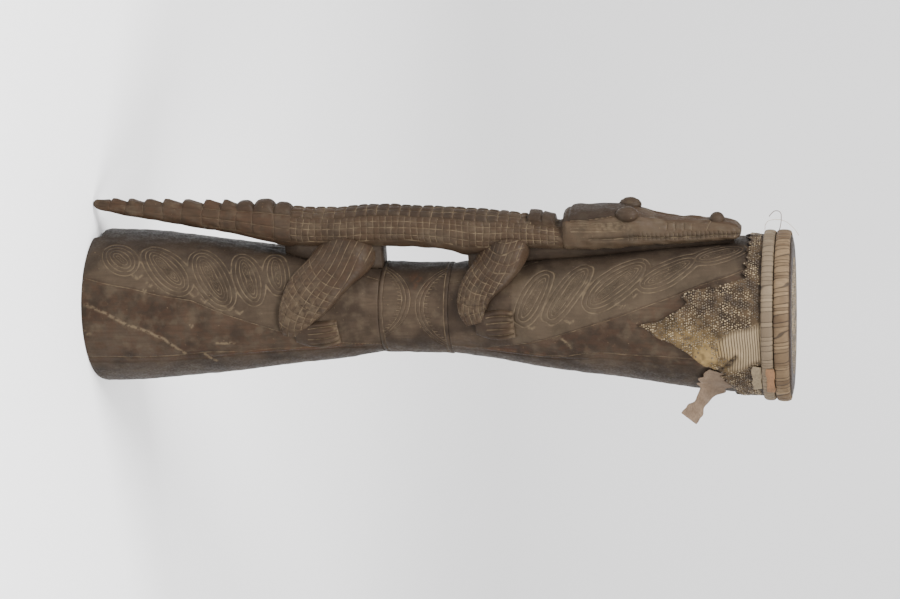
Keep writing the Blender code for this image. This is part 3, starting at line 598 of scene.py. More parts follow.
# height, drop of the back below the spine, depth, half width of the back, half width of the belly
tailRows = (
    (0.0012, -0.0048, 0.0060, 0.0030, 0.0030), (0.006, -0.0048, 0.0085, 0.0042, 0.0048),
    (0.035, -0.0032, 0.0130, 0.0060, 0.0070), (0.070, -0.0022, 0.0182, 0.0072, 0.0088),
    (0.105, -0.0015, 0.0235, 0.0085, 0.0105), (0.140, -0.0008, 0.0290, 0.0100, 0.0130),
    (0.170, 0.0000, 0.0352, 0.0125, 0.0165))
bodyRows = (
    (0.192, 0.0022, 0.0368, 0.0145, 0.0190), (0.215, 0.0032, 0.0368, 0.0158, 0.0202),
    (0.240, 0.0028, 0.0372, 0.0160, 0.0202), (0.264, 0.0005, 0.0385, 0.0160, 0.0198),
    (0.290, 0.0000, 0.0378, 0.0160, 0.0195), (0.320, 0.0015, 0.0372, 0.0160, 0.0195),
    (0.342, 0.0020, 0.0395, 0.0160, 0.0200), (0.356, 0.0026, 0.0430, 0.0160, 0.0202),
    (0.377, 0.0040, 0.0400, 0.0160, 0.0205),
    (0.400, 0.0065, 0.0325, 0.0160, 0.0205), (0.425, 0.0085, 0.0300, 0.0155, 0.0195),
    (0.4440, 0.0122, 0.0255, 0.0145, 0.0185), (0.4600, 0.0122, 0.0255, 0.0145, 0.0180))
headRows = (
    (0.4480, 0.0035, 0.0325, 0.0150, 0.0190), (0.4515, 0.0012, 0.0358, 0.0188, 0.0208),
    (0.474, -0.0002, 0.0364, 0.0205, 0.0216), (0.4945, -0.0010, 0.0355, 0.0205, 0.0218),
    (0.512, 0.0003, 0.0322, 0.0190, 0.0212), (0.530, 0.0048, 0.0260, 0.0145, 0.0192),
    (0.541, 0.0068, 0.0234, 0.0120, 0.0180), (0.5567, 0.0078, 0.0214, 0.0102, 0.0168),
    (0.5694, 0.0082, 0.0198, 0.0098, 0.0162), (0.580, 0.0075, 0.0190, 0.0105, 0.0164),
    (0.593, 0.0080, 0.0170, 0.0115, 0.0160), (0.604, 0.0110, 0.0125, 0.0110, 0.0142),
    (0.6085, 0.0150, 0.0055, 0.0075, 0.0100))
tailLines = (0.0012, 0.0165, 0.0330, 0.0500, 0.0685, 0.0870, 0.1072, 0.1245, 0.1399, 0.1565, 0.1762, 0.1933)
trunkCurve, headCurve = curve(tailRows + bodyRows), curve(headRows)


def squircle(turn, power):
    # a rounded square; turn 0 is the back, 0.5 the belly
    a = 2 * math.pi * (0.25 - turn)
    c, s = np.cos(a), np.sin(a)
    return np.sign(c) * np.abs(c)**(2 / power), np.sign(s) * np.abs(s)**(2 / power)


def loftPoints(table, z, turn, power, h):
    # points of the crocodile at height z and turn round its section, raised by h
    drop, depth, back, belly = table(z)
    across, up = squircle(turn, power)
    half = belly + (back - belly) * np.clip(up, 0, 1)
    middle, tall = croc["spine"] - drop - depth / 2, depth / 2
    length = np.hypot(across, up)
    out = middle + tall * up + h * up / length
    sideways = half * across + h * across / length
    return np.stack([-out + leanAt(z) + axisX, -sideways, z], axis=-1)


def loftPiece(name, table, low, high, rows, sides, power, relief):
    bm = bmesh.new()
    row, side = gridPoints(bm, rows, sides)
    even = side / sides      # finer on the back and flanks than under the belly
    turn = np.interp(even, (0, 0.40, 0.60, 1), (0, 0.345, 0.655, 1))
    z = low + (high - low) * row / rows
    away = np.abs((turn + 0.5) % 1 - 0.5)       # 0 at the back, 0.5 at the belly
    drop, depth, back, belly = table(z)
    girth = 2 * (depth + back + belly) * 0.80
    h, layers = relief(z, away, turn, girth)
    cut = croc["grooveDepth"] * np.maximum(groove(layers["countU"], layers["reachU"]),
                                           groove(layers["countV"], layers["reachV"]))
    h = (h - cut) * np.clip((z - low) / 0.003, 0, 1) * np.clip((high - z) / 0.003, 0, 1)
    put(bm, loftPoints(table, z, turn, power, h))
    paint(bm, warm=1.0, **layers)
    closeTube(bm)
    pieceFrom(bm, name, wood, "drum_body")


def ringNoise(z, turn, size, seed):
    points = np.stack([z, np.sin(2 * math.pi * turn) * 0.02, np.cos(2 * math.pi * turn) * 0.02], axis=-1)
    return ripple(points, size, seed)


def steps(low, high, pitch):
    return low + pitch * np.arange(int(round((high - low) / pitch)) + 1)


def trunkRelief(z, away, turn, girth):
    zw = z + 0.0005 * ringNoise(z, turn, 0.03, 11)
    aw = away + 0.0025 * ringNoise(z, turn, 0.04, 12)
    tail = z < tailLines[-1]
    # the tail: one row of steep scutes on top and two rows of long ones along each side
    countT, pitchT = cellsOf(zw, tailLines)
    i, share = np.floor(countT), countT % 1
    peak = np.where(i < croc["roundFrom"], croc["crestPeak"], 0.5)
    slope = np.where(share < peak, share / peak, (1 - share) / (1 - peak))
    crest = croc["crestRise"] * np.interp(z, (0.03, 0.06), (0.9, 1.2)) * np.minimum(1, slope * 1.25)
    rounded = croc["crestRise"] * croc["roundSwell"] * np.array((0.80, 1.15, 0.85))[np.clip(i - 8, 0, 2).astype(int)]
    crest = np.where(i < croc["roundFrom"], crest, rounded * (1 - np.abs(2 * share - 1)**3))
    crest = np.where(i > 0, crest, 0.0016) * np.clip(1 - (away / 0.125)**3, 0, 1)
    countR, pitchR = cellsOf(aw, (0.0, 0.125, 0.235, 0.330, 0.40))
    onSide = within(aw, 0.110, 0.345, 0.008)
    tailH = crest + onSide * 0.0005 * pillow(share) * pillow(countR % 1)
    tailReachU = croc["lineHalf"] * 0.8 / pitchT * (aw < 0.345) * (i > 0)
    tailReachV = croc["lineHalf"] * 0.8 / (pitchR * girth) * within(aw, 0.10, 0.345, 0.001) * (z > 0.105)
    # the body: two rows of big square scutes each side of the spine, then rows of small ones down the flank
    countB, pitchB = cellsOf(zw, steps(0.1933, 0.4130, croc["backScute"]))
    countC, pitchC = cellsOf(aw, (-0.066, 0.0, 0.066, 0.132))
    countF, pitchF = cellsOf(zw, steps(0.1933, 0.4440, croc["flankScute"]))
    countG, pitchG = cellsOf(aw, (0.132, 0.176, 0.220, 0.264, 0.308))
    onBack = aw < 0.132
    under = aw < 0.312
    backH = 0.0011 * pillow(countB % 1, 4) * pillow(countC % 1, 4) * (z < 0.4130)
    flankH = 0.0004 * pillow(countF % 1, 4) * pillow(countG % 1, 4) * under
    h = np.where(tail, tailH, np.where(onBack, backH, flankH))
    countU = np.where(tail, countT, np.where(onBack, countB, countF))
    reachU = np.where(tail, tailReachU, croc["lineHalf"] / np.where(onBack, pitchB, pitchF) * under)
    countV = np.where(tail, countR, np.where(onBack, countC, countG))
    reachV = np.where(tail, tailReachV, croc["lineHalf"] / (np.where(onBack, pitchC, pitchG) * girth) * under)
    # the plate on the nape, in two blocks
    nape = within(z, 0.4150, 0.4400, 0.0012) * np.clip((0.105 - away) / 0.010, 0, 1)
    h = h + croc["napeRise"] * nape * (1 - 0.5 * bell((z - 0.4275) * 1000, 0.8))
    plain = (nape > 0.05) | (z > 0.4440)
    reachU, reachV = np.where(plain, 0, reachU), np.where(plain, 0, reachV)
    h += 0.00025 * ringNoise(z, turn, 0.015, 13)
    shade = 0.45 * nape + 0.50 * onBack * ~tail * within(z, 0.235, 0.40, 0.02) * pillow(countB % 1, 3)
    shade += 0.35 * tail * (i >= croc["roundFrom"]) * (away < 0.12)
    return h, {"countU": countU, "reachU": reachU, "countV": countV, "reachV": reachV, "shade": shade,
               "fade": 0.4 * tail + 0.12, "rust": 0.3 * tail,
               "lime": 0.5 * bell((z - 0.125) / 0.03, 1) * bell((aw - 0.325) / 0.012, 1)}


def headRelief(z, away, turn, girth):
    aw = away + 0.0015 * ringNoise(z, turn, 0.03, 21)
    # the skull plate and its lower edge, which rises to the eye; then grooves along the cheek and the mouth
    plateEdge = np.interp(z, (0.4515, 0.470, 0.488, 0.500, 0.512), (0.165, 0.160, 0.140, 0.115, 0.095))
    mouth = np.interp(z, (0.470, 0.500, 0.560, 0.609), (0.268, 0.272, 0.266, 0.258))
    h = 0.0016 * np.clip((plateEdge - aw) / 0.008, 0, 1) * within(z, 0.4530, 0.5120, 0.002)
    onCheek = within(z, 0.4560, 0.5030, 0.001)
    countV, pitchV = cellsOf(aw, [plateEdge - 0.2, plateEdge, 0.188, 0.206, 0.224, 0.242, mouth, mouth + 0.2])
    cheekLine = (aw > plateEdge - 0.01) & (aw < 0.254) & (onCheek > 0)
    mouthLine = (aw > 0.254) & (z > 0.472)
    reachV = np.where(cheekLine, croc["lineHalf"], np.where(mouthLine, croc["lineHalf"] * 1.5, 0)) / (pitchV * girth)
    h -= 0.0011 * bell((aw - mouth) * girth * 1000, 1.1) * within(z, 0.4720, 0.6085, 0.004)
    # the teeth, the squares on the snout's side and the cap of the nose
    teeth = cellsOf(z, steps(0.5045, 0.6085, 0.0040))[0]
    onTeeth = (np.abs(aw - mouth) * girth < 0.0021) & (z > 0.505)
    squares, squarePitch = cellsOf(z, (0.5340, 0.5425, 0.5500, 0.5575, 0.5650, 0.5725))
    onSnout = (aw > 0.120) & (aw < 0.225) & (z > 0.538) & (z < 0.570)
    snoutH = 0.0007 * pillow(squares % 1, 4) * within(aw, 0.120, 0.225, 0.012) * within(z, 0.5425, 0.5650, 0.0005)
    capGap = z - 0.5780 - 0.004 * np.cos(2 * math.pi * away)
    countU = np.where(onTeeth, teeth, np.where(onSnout, squares, capGap / 0.02))
    reachU = np.where(onTeeth, 0.10, np.where(onSnout, croc["lineHalf"] / squarePitch,
                                              np.where((np.abs(capGap) < 0.004) & (away < 0.24), 0.025, 0)))
    h += snoutH - 0.0003 * onTeeth * bell(nearLine(teeth), 0.22)
    # the brow's ridge runs into the snout
    ridge = np.interp(z, (0.515, 0.575), (0.105, 0.060))
    h += 0.0016 * bell((aw - ridge) * girth * 1000, 1.8) * within(z, 0.512, 0.577, 0.006)
    h += 0.00025 * ringNoise(z, turn, 0.012, 22)
    shade = 0.6 * (aw < plateEdge) * (z < 0.512) + 0.5 * bell((aw - mouth) * girth * 1000, 1.2) * (z > 0.472)
    return h, {"countU": countU, "reachU": reachU, "countV": countV, "reachV": reachV, "shade": shade,
               "fade": 0.35, "rust": 0.15, "haze": 0.30 * (aw > plateEdge + 0.01),
               "lime": 0.45 * bell((z - 0.492) / 0.02, 1) * within(aw, 0.185, 0.25, 0.01)}


# Each limb: height, angle, how far it stands off the log, half width
limbs = {"hindLeg": ((0.2440, 4, 0.0310, 0.0290), (0.2410, 16, 0.0272, 0.0285), (0.2350, 28, 0.0184, 0.0250),
                     (0.2270, 41, 0.0125, 0.0232), (0.2135, 60, 0.0100, 0.0225), (0.2035, 76, 0.0086, 0.0180),
                     (0.1975, 90, 0.0070, 0.0125), (0.1965, 100, 0.0050, 0.0080)),
         "hindFoot": ((0.2010, 99, 0.0050, 0.0090), (0.2130, 101, 0.0060, 0.0125), (0.2260, 101.4, 0.0056, 0.0135),
                      (0.2390, 100, 0.0035, 0.0125)),
         "frontLeg": ((0.3915, 4, 0.0305, 0.0255), (0.3890, 16, 0.0264, 0.0252), (0.3830, 28, 0.0166, 0.0218),
                      (0.3735, 42, 0.0112, 0.0184), (0.3670, 56, 0.0094, 0.0158), (0.3650, 72, 0.0082, 0.0135),
                      (0.3680, 87, 0.0062, 0.0090)),
         "frontFoot": ((0.3682, 90, 0.0050, 0.0090), (0.3800, 89.3, 0.0058, 0.0130), (0.3920, 88, 0.0056, 0.0145),
                       (0.4040, 87, 0.0032, 0.0130)),
         "scute": 0.0070, "elbowScute": 0.0056, "toes": 5, "sides": 60}


def limb(kind, sign, name):
    # a leg or foot that lies on the log and bends round it
    rows = limbs[kind]
    table = curve([(i,) + tuple(r) for i, r in enumerate(rows)])
    foot = "Foot" in kind
    count = 56 if foot else 130
    bm = bmesh.new()
    row, side = gridPoints(bm, count, limbs["sides"])
    u = row / count * (len(rows) - 1)
    z, angle, lift, half = table(u)
    r = outerRadius(z)
    ahead, behind = table(u + 0.02), table(u - 0.02)
    runZ, runA = ahead[0] - behind[0], np.radians(ahead[1] - behind[1]) * r
    length = np.hypot(runZ, runA)
    runZ, runA = runZ / length, runA / length
    turn = np.interp(side / limbs["sides"], (0, 0.38, 0.62, 1), (0, 0.26, 0.74, 1))
    across, up = squircle(turn, 2.5)
    top = up > 0.02
    if foot:
        countU, countV = np.zeros(len(u)), across * limbs["toes"] / 2 + 0.5
        reachU = np.zeros(len(u))
        reachV = np.where(top & (u > 0.9) & (np.abs(across) < 0.95), 0.10, 0)
        h = -0.0016 * bell(nearLine(countV), 0.22) * np.clip((u - 0.9) / 0.8, 0, 1) * top
        h += 0.0008 * bell(nearLine(countV + 0.5), 0.3) * np.clip((u - 0.9) / 0.8, 0, 1) * top
        lime, shade = 0.40 * within(u, 2.5, 3.2, 0.3) * top, 0.45 * np.clip(2.5 - u, 0, 1)
    else:
        fine = np.linspace(0, len(rows) - 1, 400)
        lineZ, lineA = table(fine)[:2]
        lengths = np.concatenate(([0], np.cumsum(np.hypot(np.diff(lineZ), np.diff(np.radians(lineA))
                                                          * outerRadius(lineZ[1:])))))
        distance = np.interp(u, fine, lengths)
        scute = limbs["scute"] if kind == "hindLeg" else limbs["elbowScute"]
        countU = (distance + 0.0006 * np.sin(u * 7)) / scute + 0.10 * (across * half / scute)**2
        countV = across * half / (scute * 0.85) + 0.5
        knee = np.clip((u - 2.7) / 0.2, 0, 1) if kind == "hindLeg" else np.clip((u - 0.2) / 0.5, 0, 1)
        on = top & (np.abs(across) < 0.93)
        reachU = np.where(on & (u < len(rows) - 1.4), croc["lineHalf"] / scute * knee, 0)
        reachV = np.where(on, croc["lineHalf"] / (scute * 0.85), 0)
        h = on * (0.0005 * pillow(countU % 1, 4) * pillow(countV % 1, 4) * knee)
        h = h + 0.0006 * bell((np.abs(across) - 0.94) * half * 1000, 0.9) * top * np.clip(u - 2.5, 0, 1)
        lime, shade = 0.25 * bell((u - 5) / 1.2, 1) * top, 0.15 * top
    h = h - croc["grooveDepth"] * np.maximum(groove(countU, reachU), groove(countV, reachV))
    rise = (lift - croc["sink"]) / 2 + (lift + croc["sink"]) / 2 * up + h
    z2 = z - runA * across * half
    a2 = angle + np.degrees(runZ * across * half / r)
    put(bm, polar(outerRadius(z2) + rise, a2 * sign, z2))
    paint(bm, countU=countU, reachU=reachU, countV=countV, reachV=reachV, lime=lime, shade=shade, warm=0.8, rust=0.15,
          fade=0.22)
    closeTube(bm)
    pieceFrom(bm, name, wood, "drum_body")


def knob(name, back, spread, radius, lidded):
    # an eye with its ring, or the nose
    height = np.array([headRows[-1][0] - back])
    top = croc["spine"] - headCurve(height)[0][0] + croc["domeStand"]
    bm = bmesh.new()
    bmesh.ops.create_uvsphere(bm, u_segments=48, v_segments=32, radius=radius)
    for vert in bm.verts:
        vert.co.z *= 1.08 if lidded else 1.0
        tilt = math.acos(max(-1, min(1, -vert.co.x / radius)))
        if lidded:
            vert.co.y *= 0.82
            vert.co.x *= croc["eyeFlat"]
            vert.co *= 1 - 0.07 * math.exp(-((tilt - 0.72) / 0.10)**2) - 0.05 * math.exp(-((tilt - 1.15) / 0.08)**2)
        else:
            vert.co.y *= 1.15
    deep = radius * (croc["eyeFlat"] if lidded else 1)
    point = polar(np.array([top - deep]), np.array([0.0]), height)[0]
    bmesh.ops.translate(bm, verts=bm.verts, vec=Vector(point) + Vector((0, -spread, 0)))
    paint(bm, warm=0.7, shade=0.25)
    pieceFrom(bm, name, wood, "drum_body")


def web(rows, name):
    # wood left standing between the log and the crocodile's underside
    table = curve(rows)
    bm = bmesh.new()
    row, side = gridPoints(bm, 60, 24)
    z = rows[0][0] + (rows[-1][0] - rows[0][0]) * row / 60
    across, up = squircle(side / 24, 4)
    drop, depth = trunkCurve(z)[:2]
    dropH, depthH = headCurve(z)[:2]
    top = np.where(z < 0.4515, croc["spine"] - drop - depth + croc["sink"] * 2,
                   croc["spine"] - dropH - depthH + croc["sink"])
    low = outerRadius(z) - croc["sink"]
    half = table(z)[0]
    out = (top + low) / 2 + (top - low) / 2 * up
    put(bm, np.stack([-out + leanAt(z) + axisX, -half * across, z], axis=-1))
    paint(bm, warm=0.3, shade=0.35)
    closeTube(bm)
    pieceFrom(bm, name, wood, "drum_body")


loftPiece("crocodileTrunk", trunkCurve, 0.0012, 0.4600, croc["rows"], croc["sides"], croc["power"], trunkRelief)
loftPiece("crocodileHead", headCurve, 0.4480, 0.6085, 260, 120, 3.4, headRelief)
for sign, side in ((1, "Near"), (-1, "Far")):
    for kind in ("hindLeg", "hindFoot", "frontLeg", "frontFoot"):
        limb(kind, sign, kind + side)
    eyeSpread = headCurve(np.array([headRows[-1][0] - croc["eyeBack"]]))[2][0] - croc["eyeInset"]
    knob("eye" + side, croc["eyeBack"], sign * eyeSpread, croc["eyeRadius"], True)
knob("nose", croc["noseBack"], 0, croc["noseRadius"], False)
web(((0.184, 0.006), (0.200, 0.0145), (0.222, 0.0185), (0.262, 0.0170), (0.277, 0.012)), "hipWeb")
web(((0.358, 0.011), (0.372, 0.014), (0.430, 0.0125), (0.520, 0.0115), (0.602, 0.0075)), "neckWeb")
print("crocodile done")

# The lizard skin: a sheet over the head with a torn skirt; the torn edge as angle and height
skin = {"gap": 0.0004, "sheet": 0.0011, "columns": 460, "topRows": 12, "skirtRows": 84, "innerRows": 8,
        "rounding": 0.0018, "beadSink": 0.0002, "beadRowGap": 0.88, "topRingGap": 0.92, "rowLong": 64,
        "apart": 4, "beadPitch": 0.0023, "bellyHigh": 109, "bellyPitch": 0.0024}
tornEdge = np.array((
    (-180, .600), (-158, .606), (-140, .597), (-118, .586), (-100, .594), (-80, .582), (-62, .598), (-38, .611),
    (0, .6150), (44, .6115), (48, .600), (50, .590), (54, .561), (57, .5562), (60, .5575), (62, .562), (65, .559),
    (70, .552), (74, .541), (77, .535), (79, .525), (82, .5175), (84, .524), (87, .530), (94, .546), (99, .559),
    (105, .572), (112, .583), (118, .592), (140, .601), (150, .608), (166, .602), (180, .600)))


def tornHeight(angle):
    angle = (angle + 180) % 360 - 180
    turn = np.radians(angle)
    points = np.stack([np.cos(turn), np.sin(turn)], axis=-1) * 0.073
    jag = 0.0012 * ripple(points, 0.009, 31) + 0.0010 * np.abs(ripple(points, 0.0045, 32))
    return np.interp(angle, *tornEdge.T) + jag


def skinLift(angle, z):
    # how far the sheet stands off the log: the bulge, the curled edge and the slit behind the flap
    r = outerRadius(z)
    bulge = 0.0072 * bell((angle - 104) / 8, 1) * bell((z - 0.578) / 0.015, 1)
    bulge += 0.0022 * bell((angle - 88) / 8, 1) * bell((z - 0.548) / 0.02, 1)
    edgeGap = z - tornHeight(angle)
    points = np.stack([np.cos(np.radians(angle)) * 0.073, np.sin(np.radians(angle)) * 0.073, z], axis=-1)
    curl = (0.0009 + 0.0007 * ripple(points, 0.018, 33)) * np.clip(1 - edgeGap / 0.012, 0, 1)
    slitGap = strokeGap(z, angle, ((0.5700, 121), (0.5860, 116), (0.5960, 110.5), (0.6060, 101)))
    slit = bell(slitGap / (2.0 + 0.7 * ripple(points, 0.008, 38)), 1)
    bulge += 0.0016 * bell((slitGap - 3.5) / 2.5, 1) * (angle < 112)
    folds = 0.0004 * ripple(points, 0.022, 34) * np.clip((0.625 - z) / 0.02, 0, 1)
    return bulge + curl + folds - 0.0016 * slit, slit


def bellyZone(angle, z):
    soft = 3 * ripple(np.stack([angle / 12, z / 0.012], axis=-1), 2.5, 35)
    low = np.interp(z, (0.575, 0.600, 0.630), (88, 82, 76))
    return within(angle + soft, low, skin["bellyHigh"], 4) * within(z, 0.585, 0.645, 0.012)


def skinSheet():
    bm = bmesh.new()
    topRows, skirtRows, innerRows = skin["topRows"], skin["skirtRows"], skin["innerRows"]
    rows = topRows + skirtRows + innerRows + 2
    row, side = gridPoints(bm, rows, skin["columns"])
    even = side / skin["columns"]
    angle = np.interp(even, (0, 0.28, 0.45, 0.88, 1), (-180, -60, 40, 130, 180))
    top = log["height"] + skin["gap"]
    edge = np.minimum(tornHeight(angle), 0.625)
    outer = row <= topRows + skirtRows
    onTop = row <= topRows
    lift = skin["sheet"]
    share = np.where(outer, (row - topRows) / skirtRows, 1 - (row - topRows - skirtRows - 1) / innerRows)
    share = np.clip(share, 0, 1)
    z = top - skin["rounding"] + (edge - top + skin["rounding"]) * share
    off, slit = skinLift(angle, z)
    belly = bellyZone(angle, z)
    countU = (z + 0.0013 * ripple(np.stack([angle / 22, z / 0.03], axis=-1), 1.6, 36)) / skin["bellyPitch"]
    ridges = 0.0005 * belly * (np.cos(2 * math.pi * (countU + 0.5)) + 1) / 2
    solid = polar(outerRadius(z), angle, z)
    grit = 0.00022 * ripple(solid, 0.0045, 37) * (1 - belly)
    r = outerRadius(z) + skin["gap"] + np.where(outer, lift + ridges + grit, 0) + off * np.clip(share * 4, 0, 1)
    rim = log["headRadius"] + skin["gap"] + lift
    r = np.where(onTop, (rim - skin["rounding"] * 0.3) * np.minimum(row / topRows, 1), r)
    z = np.where(onTop, top + lift - skin["rounding"] * 0.35 * (row / topRows)**12, z)
    last = row >= rows - 1
    r = np.where(last, (log["headRadius"] - 0.001) * (rows - row), r)
    z = np.where(last, top, z)
    put(bm, polar(r, angle, z))
    rimGap = np.where(outer, z - edge, 1)
    yellow = bell((angle - 101) / 13, 1) * bell((z - 0.580) / 0.022, 1) + 0.5 * bell((angle - 86) / 10, 1) * bell(
        (z - 0.555) / 0.02, 1)
    dark = np.maximum(0.95 * slit, 0.7 * bell(rimGap / 0.0012, 1))      # in the slit and along the torn edge
    paint(bm, countU=countU, reachU=0.20 * (belly > 0.25), cream=belly * 0.9, yellow=np.clip(yellow, 0, 1),
          shade=np.where(outer, dark, 0.6), rimTone=0.85 * onTop)
    closeTube(bm)
    pieceFrom(bm, "skinSheet", hide, "drumhead_skin")


def skinBeads():
    # small round scales in staggered rows round the skirt and over the top, each a low dome
    rng = np.random.default_rng(41)
    pitch = skin["beadPitch"]
    places = []
    for k, z in enumerate(np.arange(0.518, 0.651, pitch * skin["beadRowGap"])):
        r = outerRadius(np.array([z]))[0]
        count = int(2 * math.pi * r / pitch)
        angle = (np.arange(count) + 0.5 * (k % 2)) * 360 / count - 180 + rng.normal(0, 0.22, count)
        heights = z + rng.normal(0, 0.00025, count)
        inside = (heights > tornHeight(angle) + 0.0012) & (bellyZone(angle, heights) < 0.35)
        bare = bell((angle - 103) / 9, 1) * bell((heights - 0.578) / 0.017, 1) > rng.uniform(0.25, 0.9, count)
        lift, slit = skinLift(angle, heights)
        inside &= ~bare & (slit < 0.4) & ((heights < 0.627) | (heights > 0.640))
        base = polar(outerRadius(heights) + skin["gap"] + skin["sheet"] + lift - skin["beadSink"], angle, heights)
        out = polar(outerRadius(heights) + 1, angle, heights) - polar(outerRadius(heights), angle, heights)
        places += [(b, o) for b, o, ok in zip(base, out, inside) if ok]
    topZ = log["height"] + skin["gap"] + skin["sheet"] - skin["beadSink"]
    for k in range(1, int(0.056 / (pitch * skin["topRingGap"]))):
        r = k * pitch * skin["topRingGap"]
        count = max(6, int(2 * math.pi * r / pitch))
        angle = np.arange(count) * 360 / count + rng.uniform(0, 360 / count) + rng.normal(0, 0.3, count)
        for a in angle:
            places.append((polar(r + rng.normal(0, 0.0002), a, topZ), np.array((0, 0, 1.0))))
    bm = bmesh.new()
    bmesh.ops.create_uvsphere(bm, u_segments=6, v_segments=4, radius=1)
    bmesh.ops.delete(bm, geom=[v for v in bm.verts if v.co.z < -0.1], context="VERTS")
    total, rowLong, apart = 1, skin["rowLong"], skin["apart"]
    while total < len(places):     # twice as many domes each time, set out in long rows
        copy = bmesh.ops.duplicate(bm, geom=bm.verts[:] + bm.edges[:] + bm.faces[:])
        step = (apart * total, 0, 0) if total < rowLong else (0, apart * total / rowLong, 0)
        bmesh.ops.translate(bm, verts=[g for g in copy["geom"] if isinstance(g, bmesh.types.BMVert)], vec=step)
        total *= 2

    def numberOf(co):
        return round(co.x / apart) + rowLong * round(co.y / apart)
    bmesh.ops.delete(bm, geom=[v for v in bm.verts if numberOf(v.co) >= len(places)], context="VERTS")
    number = np.array([numberOf(v.co) for v in bm.verts])
    shape = np.array([v.co[:] for v in bm.verts])
    shape[:, :2] -= apart * np.stack([number % rowLong, number // rowLong], axis=-1)
    base = np.array([p[0] for p in places])
    out = np.array([p[1] for p in places])
    side = np.cross(out, (0.0, 0.31, 0.95))
    side /= np.linalg.norm(side, axis=1)[:, None]
    other = np.cross(out, side)
    size = pitch * rng.uniform(0.26, 0.50, len(places))
    tall = size * rng.uniform(0.55, 0.8, len(places))
    size, tall = size[number][:, None], tall[number][:, None]
    points = base[number] + side[number] * size * shape[:, :1] + other[number] * size * shape[:, 1:2]
    put(bm, points + out[number] * tall * shape[:, 2:])
    bmesh.ops.holes_fill(bm, edges=[e for e in bm.edges if e.is_boundary], sides=0)
    bmesh.ops.recalc_face_normals(bm, faces=bm.faces)
    pieceFrom(bm, "skinBeads", beadShine, "drumhead_skin")


def alongLog(rows, count, sides, power, thick, jag=0.0):
    # a strip that follows rows of height, angle, distance off the log, half width and the angle that it faces
    table = curve([(i,) + tuple(r) for i, r in enumerate(rows)])
    bm = bmesh.new()
    row, side = gridPoints(bm, count, sides)
    u = row / count * (len(rows) - 1)

    def centre(u):
        z, angle, lift = table(np.clip(u, 0, len(rows) - 1))[:3]
        return polar(outerRadius(z) + lift, angle, z)
    z, angle, lift, half, face = table(u)
    run = centre(u + 0.05) - centre(u - 0.05)
    run /= np.linalg.norm(run, axis=1)[:, None]
    out = polar(np.ones(len(z)), face, z) - polar(np.zeros(len(z)), face, z)
    wide = np.cross(run, out)
    wide /= np.linalg.norm(wide, axis=1)[:, None]
    flat = np.cross(wide, run)
    across, up = squircle(side / sides, power)
    points = centre(u)
    ragged = 1 + jag * ripple(points, 0.010, 51) * np.abs(across)
    wave = 0.4 * thick * ripple(points + wide * (across * half)[:, None], 0.012, 52)
    points = points + wide * (across * half * ragged)[:, None] + flat * (up * thick / 2 + wave)[:, None]
    put(bm, points)
    closeTube(bm)
    return bm


skinSheet()
skinBeads()
flapRows = ((0.5930, 118, 0.0014, 0.0135, 118), (0.5860, 130, 0.0020, 0.0150, 124),
            (0.5790, 142, 0.0042, 0.0095, 112), (0.5715, 148, 0.0140, 0.0054, 92),
            (0.5655, 151, 0.0225, 0.0082, 82), (0.5600, 152, 0.0302, 0.0092, 78))
flap = alongLog(flapRows, 80, 40, 6, 0.0011, 0.08)
paint(flap, shade=[min(max((v.co.z - 0.570) / 0.018, 0), 1) * 0.55 for v in flap.verts])    # darker at its root
pieceFrom(flap, "skinFlap", bareFlap, "drumhead_skin")
print("skin done")

# The hoops
hoops = {"clear": 0.0018, "wall": 0.0039, "turnRelief": 0.00045, "wander": 0.40, "lowStrips": 92, "highStrips": 100,
         "columns": 740, "sides": 24}
lowerBinding = bindingMaterial("paleBinding", (0.122, 0.090, 0.056), (0.072, 0.051, 0.031),
                               hoops["lowStrips"], 0.08)
upperBinding = bindingMaterial("tanBinding", (0.132, 0.088, 0.046), (0.045, 0.026, 0.012),
                               hoops["highStrips"], 0.12)


def woundHoop(name, low, high, strips, slant, mat, node):
    bm = bmesh.new()
    row, side = gridPoints(bm, hoops["sides"], hoops["columns"])
    turn = row / hoops["sides"]
    angle = side / hoops["columns"] * 360
    a = 2 * math.pi * turn
    middle, half = (low + high) / 2, (high - low) / 2
    inside = outerRadius(np.array([high]))[0] + hoops["clear"]
    outward, upward = np.cos(a), np.sin(a)
    shift = slant * upward * (outward > -0.2)
    ring = np.stack([np.cos(np.radians(angle)), np.sin(np.radians(angle))], axis=-1)
    wander = hoops["wander"] * ripple(ring, 0.22, strips)     # no two turns are equally wide
    phase = side / hoops["columns"] * strips + wander
    bulgeEach = np.abs(np.sin(math.pi * (phase + shift)))**0.6
    rng = np.random.default_rng(strips)
    each = rng.uniform(-1, 1, strips + 2)
    loose = each[np.floor(phase + shift).astype(int) % strips]
    relief = hoops["turnRelief"] * (bulgeEach - 1.4 + 0.4 * loose) * (outward > -0.2)
    soft = np.sign(outward) * np.abs(outward)**0.75
    r = inside + hoops["wall"] * np.where(outward > 0, 0.25 + 0.75 * soft, 0.25 * (1 + outward)) + relief
    z = middle + (half + 0.4 * relief) * np.sign(upward) * np.abs(upward)**0.85
    put(bm, polar(r, angle, z))
    bm.verts.index_update()
    uvLayer = bm.loops.layers.uv["uv"]
    for face in bm.faces:      # the strips' slant goes into the map too
        for loop in face.loops:
            u, v = loop[uvLayer].uv
            loop[uvLayer].uv = (u, v + (slant * math.sin(2 * math.pi * u) + wander[loop.vert.index]) / strips)
    closeTube(bm)
    pieceFrom(bm, name, mat, node)


